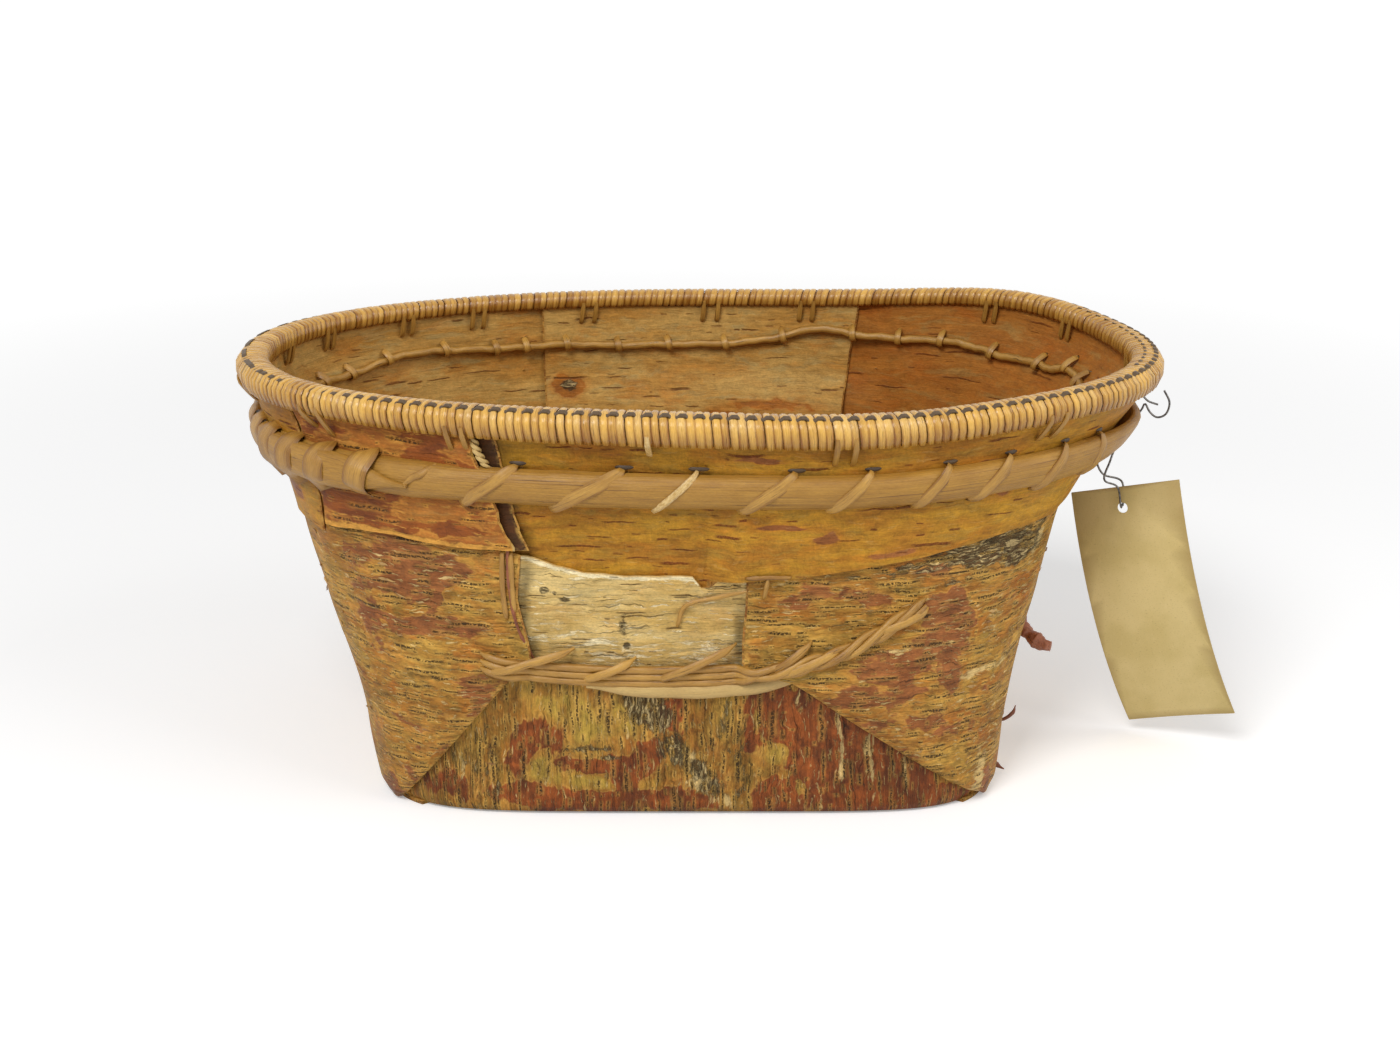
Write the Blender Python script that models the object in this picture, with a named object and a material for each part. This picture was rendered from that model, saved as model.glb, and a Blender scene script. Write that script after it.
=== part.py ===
# Birch bark basket, about 353 mm long: a folded bark body, sewn bark panels,
# a root-wrapped rim, a root-lashed batten and a paper tag on a wire.
# Units are metres. +Z is up, the long axis is X and the front faces -Y.
#
# Every bark and rim piece is laid out on the basket's wall, in three values:
# station (distance round the wall, 0 at the middle of the front, rising towards +X),
# height, and offset (outward, from the innermost sheet's inner face).

import bpy
import bmesh
import math
from mathutils import Vector, Matrix

# Wall shape
wall_height = 0.151
rim_reach = 0.1639
rim_depth = 0.1004
base_reach_left = 0.1142
base_reach_right = 0.1053
base_depth = 0.0888
flap_height = 0.054
quarter = 12
stations = 4 * quarter

# Bark sheets
bark = 0.0012
gap = 0.0004
floor_thickness = 0.0016
floor_corner = 0.012
flap_inset_left = 0.0062
flap_inset_right = 0.0033
crease_low_left = 0.0022
crease_low_right = -0.0017
crease_top_left = -0.068
crease_top_right = 0.034
crease_step = 0.0005
crease_lap = 0.007
pleat_tuck = 0.0015
pleat_drop = 0.008
panel_tuck = 0.006
patch_tuck = 0.008

# Batten, roots and lashing
batten_drop = 0.0177
batten_width = 0.0126
batten_thickness = 0.005
batten_tip = 0.001
batten_standoff = 0.003
lap_outer_x = -0.147
lap_inner_x = -0.077
lap_lashing_before = 0.012
lap_lashing_after = 0.010
inner_root_radius = 0.0013
inner_root_drop = 0.0032
inner_root_sway = 0.0007
lashing_radius = 0.0008
lashing_bend = 0.0016
awl_hole = 0.0028
hole_margin = 0.0025
flap_root_radius = 0.0013
flap_root_spacing = 0.0005
splint_width = 0.0048
splint_thickness = 0.0025
splint_drop = 0.0096
splint_reach = 0.040

# Rim
outer_hoop_height = 0.0078
outer_hoop_thickness = 0.0046
inner_hoop_height = 0.0052
inner_hoop_thickness = 0.0024
hoop_rise = 0.0012
hoop_corner = 0.0012
strip_thickness = 0.0006
strip_width = 0.0066
strip_inset = 0.0004
wrap_thickness = 0.0008
wrap_corner_in = 0.0006
wrap_corner_out = 0.0014
wrap_corner_drop = 0.0010
wrap_rib = 0.00045
wrap_clearance = 0.0003
rim_band = 0.009
rim_lift = 0.006
rim_dip = 0.0025

# Tag
tag_width = 0.0424
tag_hole_side = 0.0018
tag_length = 0.098
tag_thickness = 0.0008
tag_hole_radius = 0.002
tag_hole_drop = 0.0075
tag_bow = 0.009
wire_radius = 0.0004

# Offsets of the sheets' inner faces: layer[0] is innermost
layer = [n * (bark + gap) for n in range(5)]
slant_room = 0.0005
lashing_room = lashing_radius + gap + slant_room

# Heights where the wall changes
fold_top = flap_height + 0.004
fold_end = fold_top + 0.017
batten_top = wall_height - batten_drop
batten_low = batten_top - batten_width
seam_low = batten_low - 0.0177
seam_high = batten_low - 0.0027
rim_low = wall_height - rim_band
levels = [0.0, 0.5 * fold_top, fold_top, fold_end, seam_low, seam_high,
          0.5 * (batten_low + batten_top), rim_low, wall_height]
flare_left = [0.0, 0.14, 0.31, 0.50, 0.69, 0.81, 0.89, 1.0, 1.0]
flare_right = [0.0, 0.07, 0.17, 0.325, 0.48, 0.65, 0.76, 1.0, 1.0]
flare_depth = [0.0, 0.20, 0.41, 0.53, 0.73, 0.83, 0.89, 1.0, 1.0]
squareness = [6.0, 4.8, 3.9, 3.4, 2.75, 2.5, 2.35, 2.15, 2.15]

# Corners of the flaps and creases
flap_reach_left = base_reach_left - flap_inset_left
flap_reach_right = base_reach_right - flap_inset_right
crease_left = ((crease_low_left - base_reach_left, 0.0), (crease_top_left, flap_height + crease_step))
crease_right = ((base_reach_right - crease_low_right, 0.0), (crease_top_right, flap_height - crease_step))

# Edges of the sewn panels: x on the front or the back, and height
panel_step = 0.5
patch_meeting = 0.0
right_wrap_edge = 0.017
left_wrap_edge = -0.062
left_joint = -0.087
joint_gap = 0.001
back_panel_reach = 0.068
back_panel_taper = 0.006
back_lap_end = 0.084
back_cover_edge = 0.094
back_wrap_edge = 0.045
front_panel_edge = ((patch_meeting, 0.092), (right_wrap_edge, 0.0925), (0.040, 0.095),
                    (0.069, 0.099), (0.104, 0.106))
end_edge_front = 0.111
end_edge_back = 0.108
back_edge = 0.104
patch_left = -0.075
patch_right = 0.030
patch_step_height = 0.0895
patch_top = ((-0.002, 0.0935), (-0.060, 0.1005))
left_front_low = ((-0.135, 0.096), (-0.064, seam_low + crease_step))
left_front_right = ((-0.077, 0.143), (-0.078, wall_height))
left_front_side = ((-0.150, wall_height), (-0.1485, 0.135), (-0.1425, 0.115))
left_end_back_height = 0.102
left_end_tip = (-0.137, 0.101)
flap_root_path = ((-0.076, 0.0055), (-0.068, 0.0035), (-0.060, 0.0020), (-0.050, 0.0010), (-0.025, 0.0),
                  (0.0, 0.0), (0.009, 0.0004), (0.018, 0.0012), (0.034, 0.0045), (0.050, 0.0095),
                  (0.064, 0.0165), (0.078, 0.0250))
flap_stitch_low = ((-0.076, 0.0085), (-0.042, 0.0), (-0.016, 0.0), (0.027, 0.0), (0.056, 0.0120))
flap_stitch_high = ((-0.050, 0.0010), (-0.024, 0.0), (0.011, 0.0), (0.044, 0.0080), (0.075, 0.0240))
side_stitch_path = ((-0.070, 0.0985), (-0.070, 0.0790))
patch_stitch_path = ((-0.008, 0.0740), (-0.006, 0.0800), (0.008, 0.0850))

# Colours: red, green, blue and roughness
colours = {
    "bark_tan": (0.44, 0.25, 0.085, 0.62),
    "bark_gold": (0.52, 0.24, 0.06, 0.55),
    "bark_red": (0.30, 0.085, 0.03, 0.5),
    "bark_pale": (0.68, 0.57, 0.36, 0.7),
    "bark_dark": (0.03, 0.018, 0.012, 0.6),
    "split_root": (0.58, 0.33, 0.11, 0.45),
    "split_wood": (0.42, 0.26, 0.12, 0.55),
    "splint_wood": (0.66, 0.48, 0.25, 0.6),
    "tag_card": (0.47, 0.34, 0.14, 0.8),
    "tag_wire": (0.16, 0.15, 0.14, 0.35),
}


# The wall

def quarter_outline(reach, depth, square):
    """Points from the middle of a long side to the end, closer where the wall turns."""
    fine = 400
    points = []
    for i in range(fine + 1):
        angle = 0.5 * math.pi * i / fine
        x = reach * math.sin(angle) ** (2 / square)
        y = depth * max(0.0, math.cos(angle)) ** (2 / square)
        points.append((x, y))
    lengths = [0.0]
    turns = [0.0]
    for i in range(fine):
        dx = points[i + 1][0] - points[i][0]
        dy = points[i + 1][1] - points[i][1]
        lengths.append(lengths[-1] + math.hypot(dx, dy))
        heading = math.atan2(-dy, dx)
        turns.append(max(turns[-1], heading))
    share = [0.6 * lengths[i] / lengths[-1] + 0.4 * turns[i] / turns[-1] for i in range(fine + 1)]
    picked = []
    for n in range(quarter + 1):
        i = next(i for i in range(fine + 1) if share[i] >= n / quarter - 1e-9)
        picked.append(points[i])
    picked[0] = (0.0, depth)
    picked[-1] = (reach, 0.0)
    return picked


def full_outline(index):
    """The whole outline at one level, one point for each station."""
    reach_right = base_reach_right + (rim_reach - base_reach_right) * flare_right[index]
    reach_left = base_reach_left + (rim_reach - base_reach_left) * flare_left[index]
    depth = base_depth + (rim_depth - base_depth) * flare_depth[index]
    right = quarter_outline(reach_right, depth, squareness[index])
    left = quarter_outline(reach_left, depth, squareness[index])
    outline = [(x, -y) for x, y in right[:-1]]
    outline += [(x, y) for x, y in reversed(right[1:])]
    outline += [(-x, y) for x, y in left[:-1]]
    outline += [(-x, -y) for x, y in reversed(left[1:])]
    return outline


def outward(outline):
    """Unit vectors pointing out of the outline at each station."""
    result = []
    for k in range(stations):
        before = outline[k - 1]
        after = outline[(k + 1) % stations]
        along = Vector((after[0] - before[0], after[1] - before[1])).normalized()
        result.append((along.y, -along.x))
    return result


outlines = [full_outline(i) for i in range(len(levels))]
normals = [outward(outline) for outline in outlines]


def bump(value, centre, width):
    """A smooth hump, 1 at the centre, wrapping round the stations."""
    distance = (value - centre + 0.5 * stations) % stations - 0.5 * stations
    return math.exp(-(distance / width) ** 2)


def wave(station, height):
    """How far the rim rises or dips above its plain level."""
    ramp = min(1.0, max(0.0, (height - fold_end) / (rim_low - fold_end)))
    rise = rim_lift * bump(station, 1.47 * quarter, 0.24 * quarter)
    dip = rim_dip * bump(station, 0.22 * quarter, 0.2 * quarter)
    return ramp * ramp * (rise - dip)


def level_below(height):
    for i in range(len(levels) - 2, -1, -1):
        if height >= levels[i]:
            return i
    return 0


def wall_point(station, height, offset):
    """A point of space from its station, height and offset."""
    i = level_below(height)
    up = min(1.0, (height - levels[i]) / (levels[i + 1] - levels[i]))
    k = math.floor(station)
    along = station - k
    here = k % stations
    following = (k + 1) % stations
    x = y = 0.0
    for row, row_share in ((i, 1 - up), (i + 1, up)):
        for column, column_share in ((here, 1 - along), (following, along)):
            share = row_share * column_share
            x += share * (outlines[row][column][0] + offset * normals[row][column][0])
            y += share * (outlines[row][column][1] + offset * normals[row][column][1])
    return Vector((x, y, height + wave(station, height)))


def station_at(x, height, side="front"):
    """The station on the front or the back where the wall's outer face lies at x."""
    face = layer[4] + bark if height <= fold_top else layer[3]
    if side == "front":
        candidates = range(-quarter, quarter)
    else:
        candidates = range(quarter, 3 * quarter)
    for k in candidates:
        x0 = wall_point(k, height, face).x
        x1 = wall_point(k + 1, height, face).x
        if min(x0, x1) <= x <= max(x0, x1):
            return k + (x - x0) / (x1 - x0)
    raise ValueError("no station at x = %.4f, height %.4f" % (x, height))


def front(x, height):
    return (station_at(x, height, "front"), height)


def back(x, height):
    return (station_at(x, height, "back"), height)


def back_left(x, height):
    """A place on the back left, counted on from the left end's front."""
    return (station_at(x, height, "back") - stations, height)


# Materials and objects

def material(name):
    found = bpy.data.materials.get(name)
    if found:
        return found
    red, green, blue, roughness = colours[name]
    made = bpy.data.materials.new(name)
    made.use_nodes = True
    shader = made.node_tree.nodes["Principled BSDF"]
    shader.inputs["Base Color"].default_value = (red, green, blue, 1.0)
    shader.inputs["Roughness"].default_value = roughness
    shader.inputs["Metallic"].default_value = 0.9 if name == "tag_wire" else 0.0
    return made


def add_mesh(name, bm, colour, smooth=False):
    bmesh.ops.recalc_face_normals(bm, faces=bm.faces)
    mesh = bpy.data.meshes.new(name)
    bm.to_mesh(mesh)
    bm.free()
    made = bpy.data.objects.new(name, mesh)
    bpy.context.scene.collection.objects.link(made)
    mesh.materials.append(material(colour))
    for face in mesh.polygons:
        face.use_smooth = smooth
    return made


def add_guide(name, bm):
    guide = add_mesh(name, bm, "bark_dark")
    guide.hide_render = True
    guide.display_type = "WIRE"
    return guide


def add_boolean(target, other, operation):
    modifier = target.modifiers.new(other.name, "BOOLEAN")
    modifier.operation = operation
    modifier.solver = "EXACT"
    modifier.object = other


# Sheets, sweeps and tubes

def sheet_mesh(corners, offset, cuts=()):
    """A bark sheet: its corners as (station, height), its inner face at offset(station, height)."""
    bm = bmesh.new()
    bm.faces.new([bm.verts.new((station, 0.0, height)) for station, height in corners])
    low = math.ceil(min(station for station, height in corners))
    high = math.floor(max(station for station, height in corners))
    for k in sorted(list(range(low, high + 1)) + list(cuts)):
        bmesh.ops.bisect_plane(bm, geom=bm.verts[:] + bm.edges[:] + bm.faces[:], dist=1e-6,
                               plane_co=(k, 0, 0), plane_no=(1, 0, 0))
    for level in levels[1:-1]:
        bmesh.ops.bisect_plane(bm, geom=bm.verts[:] + bm.edges[:] + bm.faces[:], dist=1e-6,
                               plane_co=(0, 0, level), plane_no=(0, 0, 1))
    grown = bmesh.ops.extrude_face_region(bm, geom=bm.faces[:])
    for item in grown["geom"]:
        if isinstance(item, bmesh.types.BMVert):
            item.co.y = 1.0
    for vertex in bm.verts:
        station, side, height = vertex.co
        vertex.co = wall_point(station, height, offset(station, height) + side * bark)
    return bm


def add_sheet(name, corners, offset, colour, cuts=()):
    return add_mesh(name, sheet_mesh(corners, offset, cuts), colour)


def section_mesh(places, section, closed):
    """A sweep round the wall: section(place) gives the (offset, height) points there."""
    bm = bmesh.new()
    rings = []
    for place in places:
        ring = [bm.verts.new(wall_point(place, height, offset)) for offset, height in section(place)]
        rings.append(ring)
    count = len(rings[0])
    last = len(rings) if closed else len(rings) - 1
    for i in range(last):
        this = rings[i]
        following = rings[(i + 1) % len(rings)]
        for j in range(count):
            k = (j + 1) % count
            bm.faces.new((this[j], this[k], following[k], following[j]))
    if not closed:
        bm.faces.new(rings[0])
        bm.faces.new(rings[-1])
    return bm


def add_tube(name, points, radius, colour, resolution=1):
    """A round tube through the points, as a curve with filled caps."""
    curve = bpy.data.curves.new(name, "CURVE")
    curve.dimensions = "3D"
    curve.bevel_depth = radius
    curve.bevel_resolution = resolution
    curve.use_fill_caps = True
    spline = curve.splines.new("POLY")
    spline.points.add(len(points) - 1)
    for target, point in zip(spline.points, points):
        target.co = (point[0], point[1], point[2], 1.0)
    made = bpy.data.objects.new(name, curve)
    bpy.context.scene.collection.objects.link(made)
    curve.materials.append(material(colour))
    return made


def segment_gap(a, b, c, d):
    """The least distance between two straight stretches, from samples along both."""
    best = 1.0
    for i in range(7):
        p = a.lerp(b, i / 6)
        along = d - c
        share = min(1.0, max(0.0, (p - c).dot(along) / along.length_squared))
        best = min(best, (p - c.lerp(d, share)).length)
    return best


def print_least_gap(name, points, radius):
    """Prints how near a winding comes to itself, leaving out its own corners."""
    best = 1.0
    for i in range(len(points) - 1):
        for j in range(i + 3, len(points) - 1):
            if (points[i] - points[j]).length < 0.03:
                best = min(best, segment_gap(points[i], points[i + 1], points[j], points[j + 1]))
    print("%s: least gap to itself %.2f mm" % (name, 1000 * (best - 2 * radius)))


# Awl holes: one square tunnel through every sheet for each place that a root passes

hole_places = []


def pierce(station, height):
    hole_places.append((station, height))
    return station


def add_awl_holes(sheets):
    bm = bmesh.new()
    for station, height in hole_places:
        inner = wall_point(station, height, -0.003)
        outer = wall_point(station, height, layer[4] + bark + 0.002)
        along = (outer - inner).normalized()
        middle = (inner + outer) / 2
        turn = Vector((1, 0, 0)).rotation_difference(along)
        size = Matrix.Diagonal(((outer - inner).length, awl_hole, awl_hole, 1.0))
        place = Matrix.Translation(middle) @ turn.to_matrix().to_4x4() @ size
        bmesh.ops.create_cube(bm, size=1.0, matrix=place)
    guide = add_guide("awl_holes", bm)
    for sheet in sheets:
        add_boolean(sheet, guide, "DIFFERENCE")


# Where each sheet lies

def wrap_offset(station, height):
    """The end walls: outside the folds low down, second from inside higher up."""
    if height <= fold_top:
        return layer[4]
    if height < fold_end:
        share = (height - fold_top) / (fold_end - fold_top)
        return layer[4] + (layer[2] - layer[4]) * share
    place = wall_point(station, height, 0)
    if place.y < 0 or height <= seam_low:
        return layer[2]
    rise = min(1.0, (height - seam_low) / (seam_high - seam_low))
    near = min(1.0, max(0.0, (back_lap_end - abs(place.x)) / (back_lap_end - back_panel_reach)))
    return layer[2] + rise * near * (layer[3] - layer[2])


def cover_offset(station, height):
    """A panel sewn over the end walls."""
    return wrap_offset(station, height) + layer[1]


def centre_offset(station, height):
    """A panel inside the folds, rising to the rim's own layer."""
    share = min(1.0, max(0.0, (height - seam_low) / (seam_high - seam_low)))
    return share * layer[2]


def front_panel_offset(station, height):
    """Inside the patch in the middle, outside the right end wall beyond it."""
    share = min(1.0, max(0.0, station / panel_step))
    inside = centre_offset(station, height)
    return inside + share * (layer[3] - inside)


def crease_x(crease, height):
    (x0, z0), (x1, z1) = crease
    return x0 + (x1 - x0) * (height - z0) / (z1 - z0)


# Bark pieces

def crease_corners(crease, place, heights):
    return [place(crease_x(crease, height), height) for height in heights]


def end_wall(side):
    """One end of the body, wrapped round both corners to its creases."""
    low = 0.4 * floor_thickness
    if side == "right":
        crease = crease_right
        top = crease[1][1]
        edge = right_wrap_edge
        corners = crease_corners(crease, front, (low, 0.5 * top, top))
        corners += [front(edge, top + crease_lap), front(edge, fold_end), front(edge, seam_low)]
        corners += [front(edge, seam_high), front(edge, wall_height)]
        corners += [back(back_wrap_edge, wall_height), back(back_wrap_edge, seam_high)]
        corners += [back(back_wrap_edge, seam_low), back(back_wrap_edge, top + crease_lap)]
        corners += crease_corners(crease, back, (top, 0.5 * top, low))
        return sheet_mesh(corners, wrap_offset)
    crease = crease_left
    top = crease[1][1]
    corners = crease_corners(crease, back_left, (low, 0.5 * top, top))
    corners += [back_left(-back_wrap_edge, top + crease_lap), back_left(-back_wrap_edge, seam_low)]
    corners += [back_left(-back_wrap_edge, seam_high), back_left(-back_wrap_edge, wall_height)]
    corners += [front(left_joint, wall_height), front(left_joint, seam_high)]
    corners += [front(left_joint, seam_low), front(left_wrap_edge, seam_low)]
    corners += [front(left_wrap_edge, fold_end), front(left_wrap_edge - 0.002, top + crease_lap)]
    corners += crease_corners(crease, front, (top, 0.5 * top, low))
    return sheet_mesh(corners, wrap_offset)


def flap(place):
    """A long side of the body, folded up from the floor."""
    low = 0.4 * floor_thickness
    corners = [place(-flap_reach_left, low), place(flap_reach_right, low),
               place(flap_reach_right, flap_height), place(-flap_reach_left, flap_height)]
    return sheet_mesh(corners, lambda station, height: layer[2])


def leaf(crease, hinge, place):
    """The hidden leaf of a corner pleat: from the flap's edge out to the crease."""
    inboard = -math.copysign(1.0, hinge)
    tuck = pleat_tuck
    (x0, z0), (x1, z1) = crease
    low = z0 + (z1 - z0) * (hinge + inboard * 4 * tuck - x0) / (x1 - x0)
    top = flap_height - pleat_drop
    shares = (0.0, 0.3, 0.7, 1.0)
    inside = 0.0002
    offsets = (layer[2] + inside, layer[3], layer[3], layer[4] + inside)
    thickness = (bark - 2 * inside, bark, bark, bark - 2 * inside)
    bm = bmesh.new()
    rows = []
    for height in (low, 0.5 * fold_top, top):
        start = hinge + inboard * tuck
        end = crease_x(crease, height) - inboard * tuck
        faces = []
        for side in (0, 1):
            row = []
            for share, offset, thick in zip(shares, offsets, thickness):
                station, level = place(start + (end - start) * share, height)
                row.append(bm.verts.new(wall_point(station, level, offset + side * thick)))
            faces.append(row)
        rows.append(faces[0] + faces[1][::-1])
    count = len(rows[0])
    for i in range(len(rows) - 1):
        for j in range(count):
            k = (j + 1) % count
            bm.faces.new((rows[i][j], rows[i][k], rows[i + 1][k], rows[i + 1][j]))
    for row in (rows[0], rows[-1]):
        for j in range(count // 2 - 1):
            bm.faces.new((row[j], row[j + 1], row[count - 2 - j], row[count - 1 - j]))
    return bm


def floor_mesh():
    """The floor, out to the walls that stand on it."""
    bm = bmesh.new()
    corners = []
    for k in range(stations):
        point = wall_point(k, 0.0, 0.0)
        long_side = floor_corner - flap_reach_left < point.x < flap_reach_right - floor_corner
        offset = (layer[2] if long_side else layer[4]) + 0.75 * bark
        place = wall_point(k, 0.0, offset)
        corners.append(bm.verts.new((place.x, place.y, 0.0)))
    face = bm.faces.new(corners)
    grown = bmesh.ops.extrude_face_region(bm, geom=[face])
    for item in grown["geom"]:
        if isinstance(item, bmesh.types.BMVert):
            item.co.z = floor_thickness
    return bm


def add_bark_body():
    """One sheet: floor, two flaps, two end walls and four pleats, as one closed body."""
    body = add_mesh("bark_body", floor_mesh(), "bark_tan")
    parts = [end_wall("left"), end_wall("right"), flap(front), flap(back)]
    for place in (front, back):
        parts.append(leaf(crease_left, -flap_reach_left, place))
        parts.append(leaf(crease_right, flap_reach_right, place))
    for number, bm in enumerate(parts):
        guide = add_guide("body_guide_%d" % number, bm)
        add_boolean(body, guide, "UNION")
    return body


def add_panels():
    low = flap_height - panel_tuck
    joint = left_joint + joint_gap
    front_panel = [front(joint, low), front(patch_meeting, low)]
    front_panel += [front(x, height) for x, height in front_panel_edge]
    front_panel += [(0.9 * quarter, end_edge_front), (1.3 * quarter, end_edge_back),
                    back(back_cover_edge, back_edge), back(back_cover_edge, wall_height),
                    (1.3 * quarter, wall_height), front(front_panel_edge[-1][0], wall_height),
                    front(joint, wall_height)]
    back_low = back_panel_reach - back_panel_taper
    back_panel = [back(back_low, low), back(back_panel_reach, wall_height),
                  back(-back_panel_reach, wall_height), back(-back_low, low)]
    patch_low = flap_height - patch_tuck
    patch = [front(patch_left, patch_low), front(patch_right, patch_low),
             front(patch_right, patch_step_height), front(patch_meeting, patch_step_height)]
    patch += [front(x, height) for x, height in patch_top]
    patch.append(front(patch_left, patch_top[-1][1]))
    left_front = [front(x, height) for x, height in left_front_low + left_front_right + left_front_side]
    side = 2 * gap
    left_end = [back_left(-back_cover_edge, left_end_back_height),
                back_left(-back_cover_edge, wall_height)]
    left_end += [front(x - side, height) for x, height in left_front_side + (left_end_tip,)]
    return [
        add_sheet("front_panel", front_panel, front_panel_offset, "bark_gold", (panel_step,)),
        add_sheet("back_panel", back_panel, centre_offset, "bark_tan"),
        add_sheet("front_patch", patch, lambda station, height: layer[1], "bark_pale"),
        add_sheet("left_front_panel", left_front, cover_offset, "bark_red"),
        add_sheet("left_end_panel", left_end, cover_offset, "bark_tan"),
    ]


# Rim

hoop_top = wall_height + hoop_rise
inner_face = layer[2] - gap
outer_face = layer[3] + bark + gap
all_round = range(stations)


def rectangle(low_offset, high_offset, low_height, high_height):
    return [(low_offset, low_height), (high_offset, low_height),
            (high_offset, high_height), (low_offset, high_height)]


def softened(low_offset, high_offset, low_height, high_height, cut):
    """A rectangle with its two outer corners cut off."""
    return [(low_offset, low_height), (high_offset - cut, low_height),
            (high_offset, low_height + cut), (high_offset, high_height - cut),
            (high_offset - cut, high_height), (low_offset, high_height)]


def add_rim():
    outer_edge = outer_face + outer_hoop_thickness
    inner_edge = inner_face - inner_hoop_thickness
    outer = softened(outer_face, outer_edge, hoop_top - outer_hoop_height, hoop_top, hoop_corner)
    inner = rectangle(inner_edge, inner_face, hoop_top - inner_hoop_height, hoop_top)
    strip_low = hoop_top + gap
    strip_top = strip_low + strip_thickness
    strip_edge = outer_edge - strip_inset
    strip = rectangle(strip_edge - strip_width, strip_edge, strip_low, strip_top)
    add_mesh("rim_outer_hoop", section_mesh(all_round, lambda k: outer, True), "split_wood", True)
    add_mesh("rim_inner_hoop", section_mesh(all_round, lambda k: inner, True), "split_wood", True)
    add_mesh("rim_top_strip", section_mesh(all_round, lambda k: strip, True), "bark_dark", True)

    room = wrap_clearance
    low_in = hoop_top - inner_hoop_height - room
    low_out = hoop_top - outer_hoop_height - room
    top = strip_top + room
    left = inner_edge - room
    right = outer_edge + room

    def wrapping(place):
        rib = wrap_rib if place % 2 else 0.0
        skin = wrap_thickness + rib
        return [(inner_face, low_in - skin), (left - skin, low_in - skin),
                (left - skin, top - wrap_corner_drop), (left + wrap_corner_in, top + skin),
                (right - wrap_corner_out, top + skin), (right + skin, top - wrap_corner_drop),
                (right + skin, low_out - skin), (outer_face, low_out - skin),
                (outer_face, low_out), (right, low_out), (right, top),
                (left, top), (left, low_in), (inner_face, low_in)]

    add_mesh("rim_wrapping", section_mesh(all_round, wrapping, True), "split_root", True)


# Batten and its lashing

lap_start = station_at(lap_outer_x, batten_top) + stations
lap_length = station_at(lap_inner_x, batten_top) + stations - lap_start


def standoff(station):
    """The batten stands off the wall at the right end."""
    return batten_standoff * bump(station, 0.86 * quarter, 0.15 * quarter)


def batten_span(place):
    """The batten's inner face and thickness, thinned where its ends lap."""
    first = lap_start - stations
    into = (place - first) / lap_length
    from_end = (place - lap_start) / lap_length
    base = outer_face + standoff(place)
    if into < 1.0:
        return base, batten_tip + (batten_thickness - batten_tip) * into
    if from_end > -0.25:
        share = max(0.0, from_end)
        under = batten_tip + (batten_thickness - batten_tip) * share + gap
        under *= min(1.0, (from_end + 0.25) / 0.25)
        return base + under, batten_thickness - (batten_thickness - batten_tip) * share
    return base, batten_thickness


def batten_section(place):
    low, thickness = batten_span(place)
    middle = 0.5 * (batten_low + batten_top)
    half = 0.5 * batten_width
    return [(low, middle - 0.96 * half), (low + 0.45 * thickness, middle - half),
            (low + 0.9 * thickness, middle - 0.55 * half), (low + thickness, middle),
            (low + 0.9 * thickness, middle + 0.55 * half), (low + 0.45 * thickness, middle + half),
            (low, middle + 0.96 * half)]


def add_batten():
    first = lap_start - stations
    last = lap_start + lap_length
    places = [first] + list(range(math.ceil(first), math.floor(last) + 1)) + [last]
    add_mesh("outer_batten", section_mesh(places, batten_section, False), "split_wood", True)


root_height = batten_top - inner_root_drop
root_offset = layer[2] - gap - inner_root_radius - slant_room
root_start = -0.3
root_turn = stations - 0.8


def add_inner_root():
    steps = 90
    points = []
    for n in range(steps + 1):
        place = root_start + root_turn * n / steps
        sway = inner_root_sway * (math.sin(2.1 * place) + 0.7 * math.sin(0.9 * place + 1.0))
        points.append(wall_point(place, root_height + sway, root_offset))
    add_tube("inner_root", points, inner_root_radius, "split_root")


low_hole_height = batten_low - hole_margin
high_hole_height = batten_top + hole_margin


def station_lengths(height):
    """Length along the wall from the front's middle to each station."""
    total = [0.0]
    for k in range(2 * stations):
        step = wall_point(k + 1, height, 0) - wall_point(k, height, 0)
        total.append(total[-1] + math.hypot(step.x, step.y))
    return total


lengths = station_lengths(batten_low)
girth = lengths[stations]


def station_from_length(length):
    turns = math.floor(length / girth)
    length -= turns * girth
    k = next(k for k in range(stations) if lengths[k + 1] >= length)
    return turns * stations + k + (length - lengths[k]) / (lengths[k + 1] - lengths[k])


def length_from_station(station):
    turns = math.floor(station / stations)
    station -= turns * stations
    k = min(int(station), stations - 1)
    return turns * girth + lengths[k] + (station - k) * (lengths[k + 1] - lengths[k])


def lashing_path(start, pitch, lean, loops):
    """A root round the batten and the inner root, leaning outside, through two rows of holes."""
    inside = layer[2] - gap - lashing_room
    over_root = root_offset - inner_root_radius - gap - lashing_room
    bend = 0.55 * batten_width / 2
    middle = 0.5 * (batten_low + batten_top)
    points = []
    for n in range(loops):
        first = start + n * pitch
        pierce(station_from_length(first), low_hole_height)
        pierce(station_from_length(first + lean), high_hole_height)
        points.append(wall_point(station_from_length(first), low_hole_height, inside))
        for share, height, belly, room in (
                (0.0, low_hole_height, 0.35, 0.0),
                (0.12, middle - bend - lashing_bend, 0.9, lashing_room),
                (0.45, middle, 1.0, lashing_room),
                (0.80, middle + bend + lashing_bend, 0.9, lashing_room),
                (1.0, high_hole_height, 0.35, 0.0)):
            station = station_from_length(first + lean * share)
            low, thickness = batten_span_near(station)
            points.append(wall_point(station, height, low + belly * thickness + room))
        station = station_from_length(first + lean)
        points.append(wall_point(station, high_hole_height, inside))
        points.append(wall_point(station, root_height + 0.0024, over_root))
        points.append(wall_point(station, root_height - 0.0024, over_root))
    return points


def batten_span_near(station):
    """The outermost batten face at a station, counting the lap's outer end."""
    first = lap_start - stations
    best = (0.0, 0.0)
    for turn in (-1, 0, 1, 2):
        place = station + turn * stations
        if first <= place <= lap_start + lap_length:
            low, thickness = batten_span(place)
            if low + thickness > best[0] + best[1]:
                best = (low, thickness)
    return best


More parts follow.
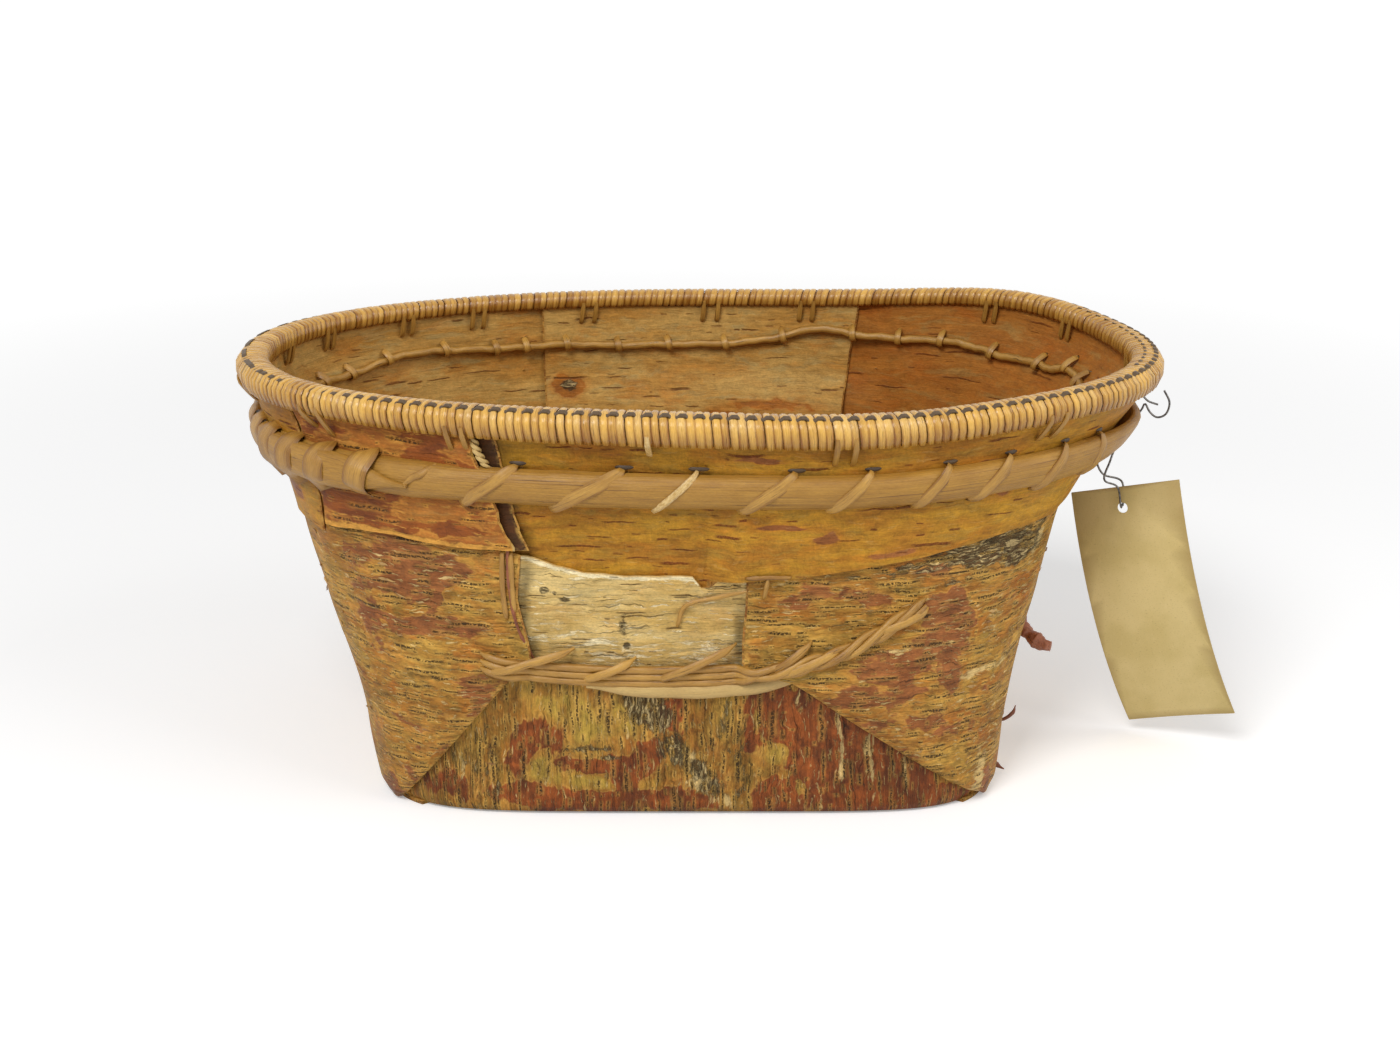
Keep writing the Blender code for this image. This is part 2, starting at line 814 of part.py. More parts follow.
def add_lashing(name, start, pitch, lean, loops):
    points = lashing_path(start, pitch, lean, loops)
    print_least_gap(name, points, lashing_radius)
    add_tube(name, points, lashing_radius, "split_root")


def add_lashings():
    lap_from = length_from_station(lap_start) - lap_lashing_before
    lap_to = length_from_station(lap_start + lap_length) + lap_lashing_after - girth
    lap_loops = 8
    lap_pitch = (lap_to + girth - lap_from) / lap_loops
    add_lashing("lap_lashing", lap_from, lap_pitch, 0.35 * lap_pitch, lap_loops)
    long_way = lap_from - lap_to
    half_loops = 13
    pitch = long_way / (2 * half_loops)
    add_lashing("batten_lashing_front", lap_to + 0.15 * pitch, pitch, 0.75 * pitch, half_loops)
    second = lap_to + half_loops * pitch + 0.15 * pitch
    add_lashing("batten_lashing_back", second, pitch, 0.75 * pitch, half_loops)


# Flap fastening: a splint and roots along each flap's top, lashed through the bark

splint_low = flap_height - splint_drop
splint_top = splint_low + splint_width
root_step = 2 * flap_root_radius + flap_root_spacing
on_flap = layer[2] + bark + gap
on_wrap = layer[4] + bark + gap


def wall_path(places, side):
    points = []
    for x, height, offset in places:
        points.append(wall_point(station_at(x, height, side), height, offset))
    return points


def add_flap_roots(prefix, count, side):
    low = splint_top + gap + flap_root_radius
    for number in range(count):
        up = low + number * root_step
        places = []
        for index, (x, rise) in enumerate(flap_root_path):
            on_body = on_flap if 3 <= index <= 6 else on_wrap
            places.append((x, up + rise, on_body + flap_root_radius))
        add_tube("%s_root_%d" % (prefix, number + 1), wall_path(places, side),
                 flap_root_radius, "split_root")


def add_splint(name, side):
    steps = 8
    middle = 0.5 * (splint_low + splint_top)
    half = 0.5 * splint_width
    places = []
    for n in range(steps + 1):
        x = splint_reach * (2 * n / steps - 1)
        places.append(station_at(x, middle, side))

    def section(place):
        thin = 0.4 if place == places[0] else 1.0
        thickness = splint_thickness * thin
        reach = half * (0.5 + 0.5 * thin)
        return [(on_flap, middle - reach), (on_flap + 0.6 * thickness, middle - 0.9 * reach),
                (on_flap + thickness, middle - 0.3 * reach), (on_flap + thickness, middle + 0.3 * reach),
                (on_flap + 0.6 * thickness, middle + 0.9 * reach), (on_flap, middle + reach)]

    add_mesh(name, section_mesh(places, section, False), "splint_wood", True)


def add_flap_lashing(name, side):
    """Stitches over the flap's roots, each from a low hole to a high one."""
    inside = -gap - lashing_radius - 0.0001
    low_from = splint_low - hole_margin
    high_from = splint_top + 3 * root_step + 0.0045
    rise = 2 * flap_root_radius + lashing_radius + gap
    points = []
    for (low_x, low_up), (high_x, high_up) in zip(flap_stitch_low, flap_stitch_high):
        low_height = low_from + low_up
        high_height = high_from + high_up
        low_station = pierce(station_at(low_x, low_height, side), low_height)
        high_station = pierce(station_at(high_x, high_height, side), high_height)
        base = on_wrap if high_up > 0 else on_flap
        out = base + lashing_radius + 0.0002
        points.append(wall_point(low_station, low_height, inside))
        points.append(wall_point(low_station, low_height, out))
        for share in (0.22, 0.5, 0.78):
            x = low_x + (high_x - low_x) * share
            height = low_height + (high_height - low_height) * share
            points.append(wall_point(station_at(x, height, side), height, base + rise))
        points.append(wall_point(high_station, high_height, out))
        points.append(wall_point(high_station, high_height, inside))
    print_least_gap(name, points, lashing_radius)
    add_tube(name, points, lashing_radius, "split_root")


def add_staple(name, places, radius, side="front"):
    """A single stitch: in through the bark at both ends."""
    inside = -gap - radius - 0.0001
    first = places[0]
    last = places[-1]
    pierce(station_at(first[0], first[1], side), first[1])
    pierce(station_at(last[0], last[1], side), last[1])
    route = [(first[0] + 0.003, first[1], inside), (first[0], first[1], inside)]
    route += list(places)
    route += [(last[0], last[1], inside), (last[0] + 0.003, last[1], inside)]
    add_tube(name, wall_path(route, side), radius, "split_root")


def add_flap_fastenings():
    for prefix, count, side in (("front_flap", 3, "front"), ("back_flap", 2, "back")):
        add_splint(prefix + "_splint", side)
        add_flap_roots(prefix, count, side)
        add_flap_lashing(prefix + "_lashing", side)
    seam = layer[2] + bark + gap + lashing_radius
    patch = layer[1] + bark + gap + lashing_radius
    add_staple("side_stitch", [(x, height, seam) for x, height in side_stitch_path], lashing_radius)
    add_staple("patch_stitch", [(x, height, patch) for x, height in patch_stitch_path], lashing_radius)


# Tag: a card that swings on a wire looped round the batten at the right end

tag_tilt = math.radians(16.9)
tag_yaw = math.radians(27.0)
tag_hole = Vector((0.160, -0.028, 0.0964))
tag_down = Vector((math.sin(tag_tilt), 0.0, -math.cos(tag_tilt)))
tag_across = Vector((math.cos(tag_yaw) * math.cos(tag_tilt), -math.sin(tag_yaw),
                     math.cos(tag_yaw) * math.sin(tag_tilt)))
tag_normal = tag_down.cross(tag_across)
tag_pivot = tag_hole - tag_down * (tag_hole_radius - wire_radius - gap)


def bow(down):
    """How far the card curves towards the front, by the distance below its hole."""
    share = (down + tag_hole_drop) / tag_length
    drop = tag_hole_drop / tag_length
    return 4 * tag_bow * (share * (1 - share) - drop * (1 - drop))


def add_tag():
    """The card, with its punched hole, turned about the wire."""
    bm = bmesh.new()
    middle = Vector((tag_hole_side, 0.5 * tag_length - tag_hole_drop, 0.0))
    size = Matrix.Diagonal((tag_width, tag_length, tag_thickness, 1.0))
    bmesh.ops.create_cube(bm, size=1.0, matrix=Matrix.Translation(middle) @ size)
    bends = 10
    for n in range(1, bends):
        down = tag_length * n / bends - tag_hole_drop
        bmesh.ops.bisect_plane(bm, geom=bm.verts[:] + bm.edges[:] + bm.faces[:], dist=1e-6,
                               plane_co=(0, down, 0), plane_no=(0, 1, 0))
    for vertex in bm.verts:
        vertex.co.z -= bow(vertex.co.y)
    turned = Matrix((tag_across, tag_down, -tag_normal)).transposed().to_4x4()
    offset = turned.to_3x3().inverted() @ (tag_hole - tag_pivot)
    bmesh.ops.translate(bm, verts=bm.verts, vec=offset)
    tag = add_mesh("museum_tag", bm, "tag_card")
    punch = bmesh.new()
    bmesh.ops.create_cone(punch, cap_ends=True, segments=16, radius1=tag_hole_radius,
                          radius2=tag_hole_radius, depth=6 * tag_thickness,
                          matrix=Matrix.Translation(offset))
    guide = add_guide("tag_punch", punch)
    for item in (tag, guide):
        item.matrix_world = Matrix.Translation(tag_pivot) @ turned
    add_boolean(tag, guide, "DIFFERENCE")
    print("tag pivot", [round(value, 5) for value in tag_pivot])
    print("tag axis", [round(value, 5) for value in tag_normal])


def add_tag_wire():
    """The wire: a loose end, round the batten, through the tag's hole and back."""
    clear = 0.0016
    above = 0.0085
    swing_room = 0.0013
    front_strand = tag_normal * clear
    spread = tag_normal * swing_room
    card_top = tag_hole - tag_down * above + tag_normal * bow(-above)
    points = [(0.1758, -0.0140, 0.1385), (0.1780, -0.0145, 0.1340), (0.1770, -0.0145, 0.1295),
              (0.1738, -0.0140, 0.1280), (0.1710, -0.0135, 0.1300), (0.1692, -0.0125, 0.1330),
              (0.1680, -0.0128, 0.1308), (0.1643, -0.0155, 0.1270), (0.1616, -0.0183, 0.1233),
              (0.1575, -0.0215, 0.1192), (0.1546, -0.0255, 0.1140), (0.1523, -0.0282, 0.1075)]
    points += [card_top + front_strand + spread, tag_pivot + front_strand,
               tag_pivot, tag_pivot - front_strand, card_top - front_strand - spread]
    points += [(0.1523, -0.0248, 0.1088), (0.1498, -0.0225, 0.1150), (0.1521, -0.0179, 0.1207),
               (0.1564, -0.0165, 0.1270), (0.1622, -0.0125, 0.1333), (0.1652, -0.0108, 0.1355),
               (0.1684, -0.0105, 0.1355), (0.1708, -0.0108, 0.1335), (0.1745, -0.0110, 0.1322)]
    points = [Vector(point) for point in points]
    print_least_gap("tag_wire", points, wire_radius)
    add_tube("tag_wire", points, wire_radius, "tag_wire", 2)


def build():
    for old in list(bpy.data.objects):
        bpy.data.objects.remove(old, do_unlink=True)
    body = add_bark_body()
    panels = add_panels()
    add_rim()
    add_batten()
    add_inner_root()
    add_lashings()
    add_flap_fastenings()
    add_awl_holes([body] + panels)
    add_tag()
    add_tag_wire()


build()
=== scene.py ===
# Birch bark basket: bark sheets, root wrappings, batten, tag and wire,
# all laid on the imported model's own wall. Lengths are in metres.
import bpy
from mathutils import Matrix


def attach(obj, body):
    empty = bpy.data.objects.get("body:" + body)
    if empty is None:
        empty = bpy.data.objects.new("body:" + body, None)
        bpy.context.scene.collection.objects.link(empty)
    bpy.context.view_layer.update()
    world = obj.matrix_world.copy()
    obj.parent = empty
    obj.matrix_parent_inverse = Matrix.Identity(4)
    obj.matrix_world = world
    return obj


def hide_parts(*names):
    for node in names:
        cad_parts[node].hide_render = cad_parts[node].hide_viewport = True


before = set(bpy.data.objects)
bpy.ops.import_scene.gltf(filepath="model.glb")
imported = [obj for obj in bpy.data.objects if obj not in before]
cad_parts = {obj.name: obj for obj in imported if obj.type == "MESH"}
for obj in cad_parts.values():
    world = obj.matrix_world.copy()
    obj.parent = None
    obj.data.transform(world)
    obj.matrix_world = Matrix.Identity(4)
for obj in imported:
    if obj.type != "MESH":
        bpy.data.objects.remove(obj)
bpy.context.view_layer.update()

import bpy
import bmesh
import math
import numpy as np
from mathutils import Matrix, Vector

pi = math.pi


def newObject(name, data):
    made = bpy.data.objects.new(name, data)
    bpy.context.scene.collection.objects.link(made)
    return made


def newMaterial(name):
    made = bpy.data.materials.new(name)
    made.use_nodes = True
    return made, made.node_tree, made.node_tree.nodes["Principled BSDF"]


# Camera
view = {"place": (0.0, -0.7608, 0.3276), "tilt": 72.0, "lens": 52.2, "sensor": 36.0}
cameraData = bpy.data.cameras.new("camera")
cameraData.lens = view["lens"]
cameraData.sensor_width = view["sensor"]
camera = newObject("camera", cameraData)
camera.location = view["place"]
camera.rotation_euler = (math.radians(view["tilt"]), 0.0, 0.0)
bpy.context.scene.camera = camera
bpy.context.scene.view_settings.view_transform = "Standard"
print("camera ready")


# Small helpers for numbers

def arr(values):
    return np.asarray(values, float)


def soft(value, low, high):
    t = np.clip((arr(value) - low) / (high - low), 0.0, 1.0)
    return t * t * (3 - 2 * t)


def wobble(t, seed, pitch):
    # a smooth irregular line, about one high and one low in each pitch
    t = arr(t) / pitch
    total = np.zeros_like(t)
    for n, (rate, share) in enumerate(((1.0, 0.5), (2.3, 0.28), (5.1, 0.14), (11.7, 0.08))):
        total = total + share * np.sin(2 * pi * rate * t + seed * (1.7 + n) + 2.1 * n)
    return total


# The wall: the same outline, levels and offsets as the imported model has
wallShape = {"height": 0.151, "rimReach": 0.1639, "rimDepth": 0.1004, "baseLeft": 0.1142, "baseRight": 0.1053,
    "baseDepth": 0.0888, "footRadius": 0.0038, "ripple": 0.0006, "seamReach": 0.084, "seamEase": 0.016}
stations = 48
quarter = 12
perStation = 10
bark = 0.0012
gap = 0.0004
layer = [n * (bark + gap) for n in range(5)]
raggedStations = 140
foldTop, foldEnd, seamLow, seamHigh, rimLow = 0.058, 0.075, 0.103, 0.118, 0.142
wallTop = wallShape["height"]
levels = [0.0, 0.029, foldTop, foldEnd, seamLow, seamHigh, 0.127, rimLow, wallTop]
flareLeft = [0.0, 0.14, 0.31, 0.50, 0.69, 0.81, 0.89, 1.0, 1.0]
flareRight = [0.0, 0.07, 0.17, 0.325, 0.48, 0.65, 0.76, 1.0, 1.0]
flareDepth = [0.0, 0.20, 0.41, 0.53, 0.73, 0.83, 0.89, 1.0, 1.0]
squareness = [6.0, 4.8, 3.9, 3.4, 2.75, 2.5, 2.35, 2.15, 2.15]
rowHeights = np.arange(0, 152) * 0.001


def evened(values, reach=7):
    # a curve through the levels with its corners eased
    raw = np.interp(rowHeights, levels, values)
    before = 2 * raw[0] - raw[1:reach + 1][::-1]
    after = 2 * raw[-1] - raw[-reach - 1:-1][::-1]
    kernel = np.hanning(2 * reach + 3)[1:-1]
    return np.convolve(np.concatenate((before, raw, after)), kernel / kernel.sum(), "valid")


def quarterOutline(reach, depth, square):
    angle = np.linspace(0, 0.5 * pi, 401)
    x = reach * np.sin(angle) ** (2 / square)
    y = depth * np.maximum(0, np.cos(angle)) ** (2 / square)
    length = np.concatenate(([0], np.cumsum(np.hypot(np.diff(x), np.diff(y)))))
    turn = np.concatenate(([0], np.maximum.accumulate(np.arctan2(-np.diff(y), np.diff(x)))))
    share = 0.6 * length / length[-1] + 0.4 * turn / turn[-1]
    wanted = np.linspace(0, 1, quarter * perStation + 1)
    return np.interp(wanted, share, x), np.interp(wanted, share, y)


def wallTables():
    left, right, deep, square = (evened(v) for v in (flareLeft, flareRight, flareDepth, squareness))
    rows = []
    for n in range(len(rowHeights)):
        depth = wallShape["baseDepth"] + (wallShape["rimDepth"] - wallShape["baseDepth"]) * deep[n]
        reach = wallShape["rimReach"]
        rx, ry = quarterOutline(wallShape["baseRight"] + (reach - wallShape["baseRight"]) * right[n], depth,
            square[n])
        lx, ly = quarterOutline(wallShape["baseLeft"] + (reach - wallShape["baseLeft"]) * left[n], depth,
            square[n])
        x = np.concatenate((rx[:-1], rx[:0:-1], -lx[:-1], -lx[:0:-1]))
        y = np.concatenate((-ry[:-1], ry[:0:-1], ly[:-1], -ly[:0:-1]))
        ax, ay = np.roll(x, -1) - np.roll(x, 1), np.roll(y, -1) - np.roll(y, 1)
        size = np.hypot(ax, ay)
        rows.append(np.stack((x, y, ay / size, -ax / size), axis=1))
    return np.stack(rows)


wallTable = wallTables()


def surface(station, height):
    column = np.mod(arr(station), stations) * perStation
    row = np.clip(arr(height), 0, wallTop) / 0.001
    c0 = np.floor(column).astype(int) % (stations * perStation)
    c1 = (c0 + 1) % (stations * perStation)
    fc = (column - np.floor(column))[..., None]
    r0 = np.minimum(np.floor(row).astype(int), len(rowHeights) - 2)
    fr = (row - r0)[..., None]
    low = wallTable[r0, c0] * (1 - fc) + wallTable[r0, c1] * fc
    high = wallTable[r0 + 1, c0] * (1 - fc) + wallTable[r0 + 1, c1] * fc
    return low * (1 - fr) + high * fr


def bump(value, centre, width):
    distance = np.mod(arr(value) - centre + 0.5 * stations, stations) - 0.5 * stations
    return np.exp(-(distance / width) ** 2)


def wave(station, height):
    ramp = np.clip((arr(height) - foldEnd) / (rimLow - foldEnd), 0, 1)
    rise = 0.006 * bump(station, 1.47 * quarter, 0.24 * quarter)
    return ramp ** 2 * (rise - 0.0025 * bump(station, 0.22 * quarter, 0.2 * quarter))


def ripple(station, height):
    turn = 2 * pi * arr(station) / stations
    z = arr(height) / wallTop
    hill = (np.sin(3 * turn + 5 * z + 0.6) + 0.7 * np.sin(7 * turn - 9 * z + 2.2)
        + 0.5 * np.sin(13 * turn + 14 * z + 4.0) + 0.35 * np.sin(23 * turn - 21 * z))
    fade = soft(height, 0.004, 0.03) * (1 - soft(height, 0.112, 0.138))
    return wallShape["ripple"] * hill * fade


def wallPoints(station, height, offset, foot=None):
    # foot is the offset of the face about which a sheet's bottom edge is rounded
    station, height, offset = np.broadcast_arrays(arr(station), arr(height), arr(offset))
    offset = offset + ripple(station, height)
    z = height.copy()
    if foot is not None:
        radius = wallShape["footRadius"]
        low = height < radius
        angle = (1 - np.clip(height / radius, 0, 1)) * 0.5 * pi
        reach = radius + offset - foot
        offset = np.where(low, foot - radius + reach * np.cos(angle), offset)
        z = np.where(low, radius - reach * np.sin(angle), z)
    found = surface(station, height)
    x = found[..., 0] + offset * found[..., 2]
    y = found[..., 1] + offset * found[..., 3]
    return np.stack((x, y, z + wave(station, height)), axis=-1)


def stationAt(x, height, side="front"):
    # the station where the bark's outer face stands at x, on the front or on the back
    face = layer[4] + bark if height <= foldTop else layer[3]
    start = 3 * quarter if side == "back" else -quarter
    where = np.linspace(start, quarter, 961)
    found = surface(where, np.full(len(where), height))
    return float(np.interp(x, found[:, 0] + face * found[:, 2], where))


def front(x, height):
    return (stationAt(x, height, "front"), height)


def back(x, height):
    return (stationAt(x, height, "back"), height)


def backLeft(x, height):
    return (stationAt(x, height, "back") - stations, height)


def edgeOf(place, *points):
    return [place(x, height) for x, height in points]


girthRow = wallTable[90, :, :2]
girthSteps = np.hypot(*(np.roll(girthRow, -1, axis=0) - girthRow).T)
girthTotal = girthSteps.sum()
girthAt = np.concatenate(([0], np.cumsum(girthSteps)))


def girth(station):
    # length along the wall from the middle of the front, at one middle height
    station = arr(station)
    turns = np.floor(station / stations)
    inside = (station - turns * stations) * perStation
    return turns * girthTotal + np.interp(inside, np.arange(len(girthAt)), girthAt)


rimRow = wallTable[-1, :, :2] + 0.006 * wallTable[-1, :, 2:]
rimSteps = np.hypot(*(np.roll(rimRow, -1, axis=0) - rimRow).T)
rimAt = np.concatenate(([0], np.cumsum(rimSteps)))
rimTotal = rimAt[-1]


def rimStation(length):
    turns = np.floor(arr(length) / rimTotal)
    rest = arr(length) - turns * rimTotal
    return turns * stations + np.interp(rest, rimAt, np.arange(len(rimAt))) / perStation


print("wall ready, rim girth %.3f" % rimTotal)


# Node helpers

def put(tree, kind, values=None, **settings):
    made = tree.nodes.new(kind)
    for key, value in settings.items():
        setattr(made, key, value)
    for key, value in (values or {}).items():
        if isinstance(value, bpy.types.NodeSocket):
            tree.links.new(value, made.inputs[key])
        else:
            made.inputs[key].default_value = value
    return made


def calc(tree, operation, a, b=0.0, c=0.0, clamp=False):
    return put(tree, "ShaderNodeMath", {0: a, 1: b, 2: c}, operation=operation, use_clamp=clamp).outputs[0]


def times(tree, a, b, clamp=False):
    return calc(tree, "MULTIPLY", a, b, clamp=clamp)


def plus(tree, a, b, clamp=False):
    return calc(tree, "ADD", a, b, clamp=clamp)


def band(tree, value, low, high, start=0.0, end=1.0):
    made = put(tree, "ShaderNodeMapRange",
        {"Value": value, "From Min": low, "From Max": high, "To Min": start, "To Max": end},
        interpolation_type="SMOOTHSTEP")
    return made.outputs["Result"]


def blend(tree, factor, a, b, mode="MIX"):
    made = put(tree, "ShaderNodeMix", data_type="RGBA", blend_type=mode)
    for key, value in ((0, factor), (6, a), (7, b)):
        if isinstance(value, bpy.types.NodeSocket):
            tree.links.new(value, made.inputs[key])
        else:
            made.inputs[key].default_value = value
    return made.outputs[2]


def scaled(tree, vector, scale, shift=(0.0, 0.0, 0.0)):
    grown = put(tree, "ShaderNodeVectorMath", {0: vector, 1: scale}, operation="MULTIPLY").outputs[0]
    return put(tree, "ShaderNodeVectorMath", {0: grown, 1: shift}, operation="ADD").outputs[0]


def noise(tree, vector, scale, shift=0.0, detail=3.0, rough=0.5, bend=0.0):
    place = scaled(tree, vector, scale, (shift, shift * 0.7, shift * 1.3))
    made = put(tree, "ShaderNodeTexNoise",
        {"Vector": place, "Scale": 1.0, "Detail": detail, "Roughness": rough, "Distortion": bend})
    return made.outputs["Fac"]


inMillimetres = (1000.0, 1000.0, 1000.0)


def colour(red, green, blue):
    # a colour written as it is seen, 0 to 255
    return tuple((v / 255 / 12.92 if v <= 10 else ((v / 255 + 0.055) / 1.055) ** 2.4)
        for v in (red, green, blue)) + (1.0,)


def shaded(tree, base, gain):
    grey = put(tree, "ShaderNodeCombineColor", {0: gain, 1: gain, 2: gain}).outputs[0]
    return blend(tree, 1.0, base, grey, "MULTIPLY")


def newGroup(name, inputs, outputs):
    group = bpy.data.node_groups.new(name, "ShaderNodeTree")
    for label, kind, default in inputs:
        socket = group.interface.new_socket(label, in_out="INPUT", socket_type=kind)
        if default is not None:
            socket.default_value = default
    for label, kind in outputs:
        group.interface.new_socket(label, in_out="OUTPUT", socket_type=kind)
    source = group.nodes.new("NodeGroupInput")
    target = group.nodes.new("NodeGroupOutput")
    return group, source.outputs, target.inputs


def lenticels(tree, place, cell, amount, longest, thick, shift):
    # short dashes along the bark: one at most in each cell, with a paler rim
    at = scaled(tree, place, (1 / cell[0], 1 / cell[1], 0.0), (shift, shift * 1.7, 0.0))
    cells = put(tree, "ShaderNodeTexVoronoi", {"Vector": at, "Scale": 1.0, "Randomness": 0.9},
        voronoi_dimensions="2D", feature="F1")
    apart = put(tree, "ShaderNodeVectorMath", {0: at, 1: cells.outputs["Position"]}, operation="SUBTRACT")
    split = put(tree, "ShaderNodeSeparateXYZ", {0: apart.outputs[0]})
    tint = put(tree, "ShaderNodeSeparateColor", {0: cells.outputs["Color"]})
    alongside = calc(tree, "ABSOLUTE", split.outputs[0])
    across = calc(tree, "ABSOLUTE", split.outputs[1])
    reach = calc(tree, "MULTIPLY_ADD", tint.outputs[0], 0.8 * longest / cell[0], 0.2 * longest / cell[0])
    taper = band(tree, calc(tree, "DIVIDE", alongside, reach), 1.0, 0.55)
    width = calc(tree, "MULTIPLY_ADD", tint.outputs[2], 0.6 * thick / cell[1], 0.4 * thick / cell[1])
    near = calc(tree, "DIVIDE", across, width)
    chosen = calc(tree, "LESS_THAN", tint.outputs[1], amount)
    line = times(tree, times(tree, band(tree, near, 1.0, 0.45), taper), chosen)
    rim = times(tree, times(tree, band(tree, near, 3.6, 1.2), taper), chosen)
    return line, rim


def shifted(tree, vector, wave, reach, seed):
    # moves a place by up to reach in a smooth random way, so that patches get ragged outlines
    where = scaled(tree, vector, wave, (seed, seed * 0.6, seed * 1.4))
    cloud = put(tree, "ShaderNodeTexNoise",
        {"Vector": where, "Scale": 1.0, "Detail": 3.0, "Roughness": 0.55}).outputs["Color"]
    push = scaled(tree, cloud, (reach[0], reach[1], 0.0), (-0.5 * reach[0], -0.5 * reach[1], 0.0))
    return put(tree, "ShaderNodeVectorMath", {0: vector, 1: push}, operation="ADD").outputs[0]


def centred(tree, value, gain):
    return times(tree, calc(tree, "SUBTRACT", value, 0.5), gain)


def makeBirchSkin():
    floatKind, colourKind, vectorKind = "NodeSocketFloat", "NodeSocketColor", "NodeSocketVector"
    tree, given, result = newGroup("birchSkin",
        [("Lay", vectorKind, None), ("Rust", floatKind, 0.0), ("Pale", floatKind, 0.0),
        ("Scar", floatKind, 0.0), ("Shade", floatKind, 0.0), ("Yellow", floatKind, 0.0),
        ("Edge", floatKind, 9.0), ("Seed", floatKind, 0.0), ("Ground", colourKind, None),
        ("Second", colourKind, None), ("Olive", colourKind, None), ("Warm", colourKind, None),
        ("Rust Colour", colourKind, None), ("Deep Rust", colourKind, None), ("Pale Colour", colourKind, None),
        ("Line Colour", colourKind, None), ("Rim Colour", colourKind, None), ("Line Amount", floatKind, 0.5),
        ("Fine Lines", floatKind, 0.4), ("Dotted", floatKind, 1.0), ("Mottle", floatKind, 0.5),
        ("Streaks", floatKind, 0.5), ("Rust Base", floatKind, 0.0), ("Flakes", floatKind, 0.4),
        ("Wrinkles", floatKind, 0.2), ("Rough Bark", floatKind, 0.3)],
        [("Color", colourKind), ("Roughness", floatKind), ("Height", floatKind)])
    seeded = put(tree, "ShaderNodeCombineXYZ", {0: given["Seed"], 1: given["Seed"], 2: 0.0}).outputs[0]
    lay = put(tree, "ShaderNodeVectorMath", {0: scaled(tree, given["Lay"], inMillimetres), 1: seeded},
        operation="ADD").outputs[0]
    bent = shifted(tree, lay, (1 / 15, 1 / 9, 1 / 9), (9.0, 6.0), 4.0)
    torn = shifted(tree, bent, (1 / 3.2, 1 / 1.8, 1 / 2), (3.0, 1.6), 9.0)
    # ground colours in large streaky patches
    broad = noise(tree, bent, (1 / 38, 1 / 13, 1 / 13), 3.0, 4.0, 0.6)
    middle = noise(tree, torn, (1 / 17, 1 / 4.5, 1 / 5), 13.0, 5.0, 0.65)
    warmth = noise(tree, bent, (1 / 22, 1 / 10, 1 / 9), 71.0, 5.0, 0.65)
    base = blend(tree, band(tree, broad, 0.38, 0.62), given["Ground"], given["Second"])
    base = blend(tree, times(tree, 0.75, band(tree, middle, 0.50, 0.66)), base, given["Olive"])
    base = blend(tree, times(tree, 0.60, band(tree, warmth, 0.50, 0.68)), base, given["Warm"])
    clear = band(tree, plus(tree, given["Yellow"], centred(tree, warmth, 1.4)), 0.30, 0.60)
    base = blend(tree, times(tree, 0.85, clear), base, colour(176, 146, 62))
    # grain along the bark, wrinkles across it, and fine dirt
    streak = noise(tree, torn, (1 / 24, 1 / 1.5, 1 / 2), 17.0, 5.0, 0.65)
    grain = noise(tree, lay, (1 / 8, 1 / 0.45, 1 / 0.6), 11.0, 4.0, 0.65)
    mottle = noise(tree, torn, (1 / 5.0, 1 / 2.6, 1 / 3), 7.0, 6.0, 0.68)
    speck = noise(tree, lay, (1 / 0.9, 1 / 0.6, 1 / 0.6), 19.0, 3.0, 0.6)
    wrinkle = noise(tree, bent, (1 / 0.55, 1 / 6.0, 1 / 3), 29.0, 3.0, 0.6)
    lift = centred(tree, mottle, times(tree, given["Mottle"], 1.25))
    lift = plus(tree, lift, centred(tree, streak, times(tree, given["Streaks"], 0.85)))
    lift = plus(tree, lift, centred(tree, grain, times(tree, given["Streaks"], 0.70)))
    lift = plus(tree, lift, centred(tree, wrinkle, given["Wrinkles"]))
    lift = plus(tree, lift, centred(tree, speck, 0.60))
    # red-brown under-bark: a soft wash, then patches with pale torn borders
    rustNoise = noise(tree, torn, (1 / 18, 1 / 8, 1 / 9), 23.0, 4.0, 0.56)
    rustSum = plus(tree, plus(tree, given["Rust"], given["Rust Base"]), centred(tree, rustNoise, 1.6))
    rustSum = plus(tree, rustSum, centred(tree, streak, 0.30))
    wash = band(tree, rustSum, 0.02, 0.52)
    rust = band(tree, rustSum, 0.44, 0.58)
    border = times(tree, band(tree, rustSum, 0.38, 0.46), band(tree, rustSum, 0.56, 0.48))
    deep = band(tree, noise(tree, torn, (1 / 9, 1 / 6, 1 / 7), 31.0, 5.0, 0.65), 0.42, 0.62)
    rustTone = blend(tree, deep, given["Rust Colour"], given["Deep Rust"])
    base = blend(tree, times(tree, 0.55, wash), base, given["Warm"])
    base = blend(tree, times(tree, 0.90, rust), base, rustTone)
    base = blend(tree, times(tree, 0.30, border), base, given["Rim Colour"])
    # thin pale flakes of skin that still cling
    flakeNoise = noise(tree, torn, (1 / 6.5, 1 / 0.95, 1 / 1.2), 67.0, 4.0, 0.6)
    flake = times(tree, band(tree, flakeNoise, 0.585, 0.66), given["Flakes"])
    base = blend(tree, flake, base, given["Pale Colour"])
    paleNoise = noise(tree, torn, (1 / 10, 1 / 2.2, 1 / 3), 37.0, 6.0, 0.68)
    paleSum = plus(tree, given["Pale"], centred(tree, paleNoise, 1.9))
    pale = band(tree, paleSum, 0.42, 0.66)
    base = blend(tree, times(tree, 0.88, pale), base, given["Pale Colour"])
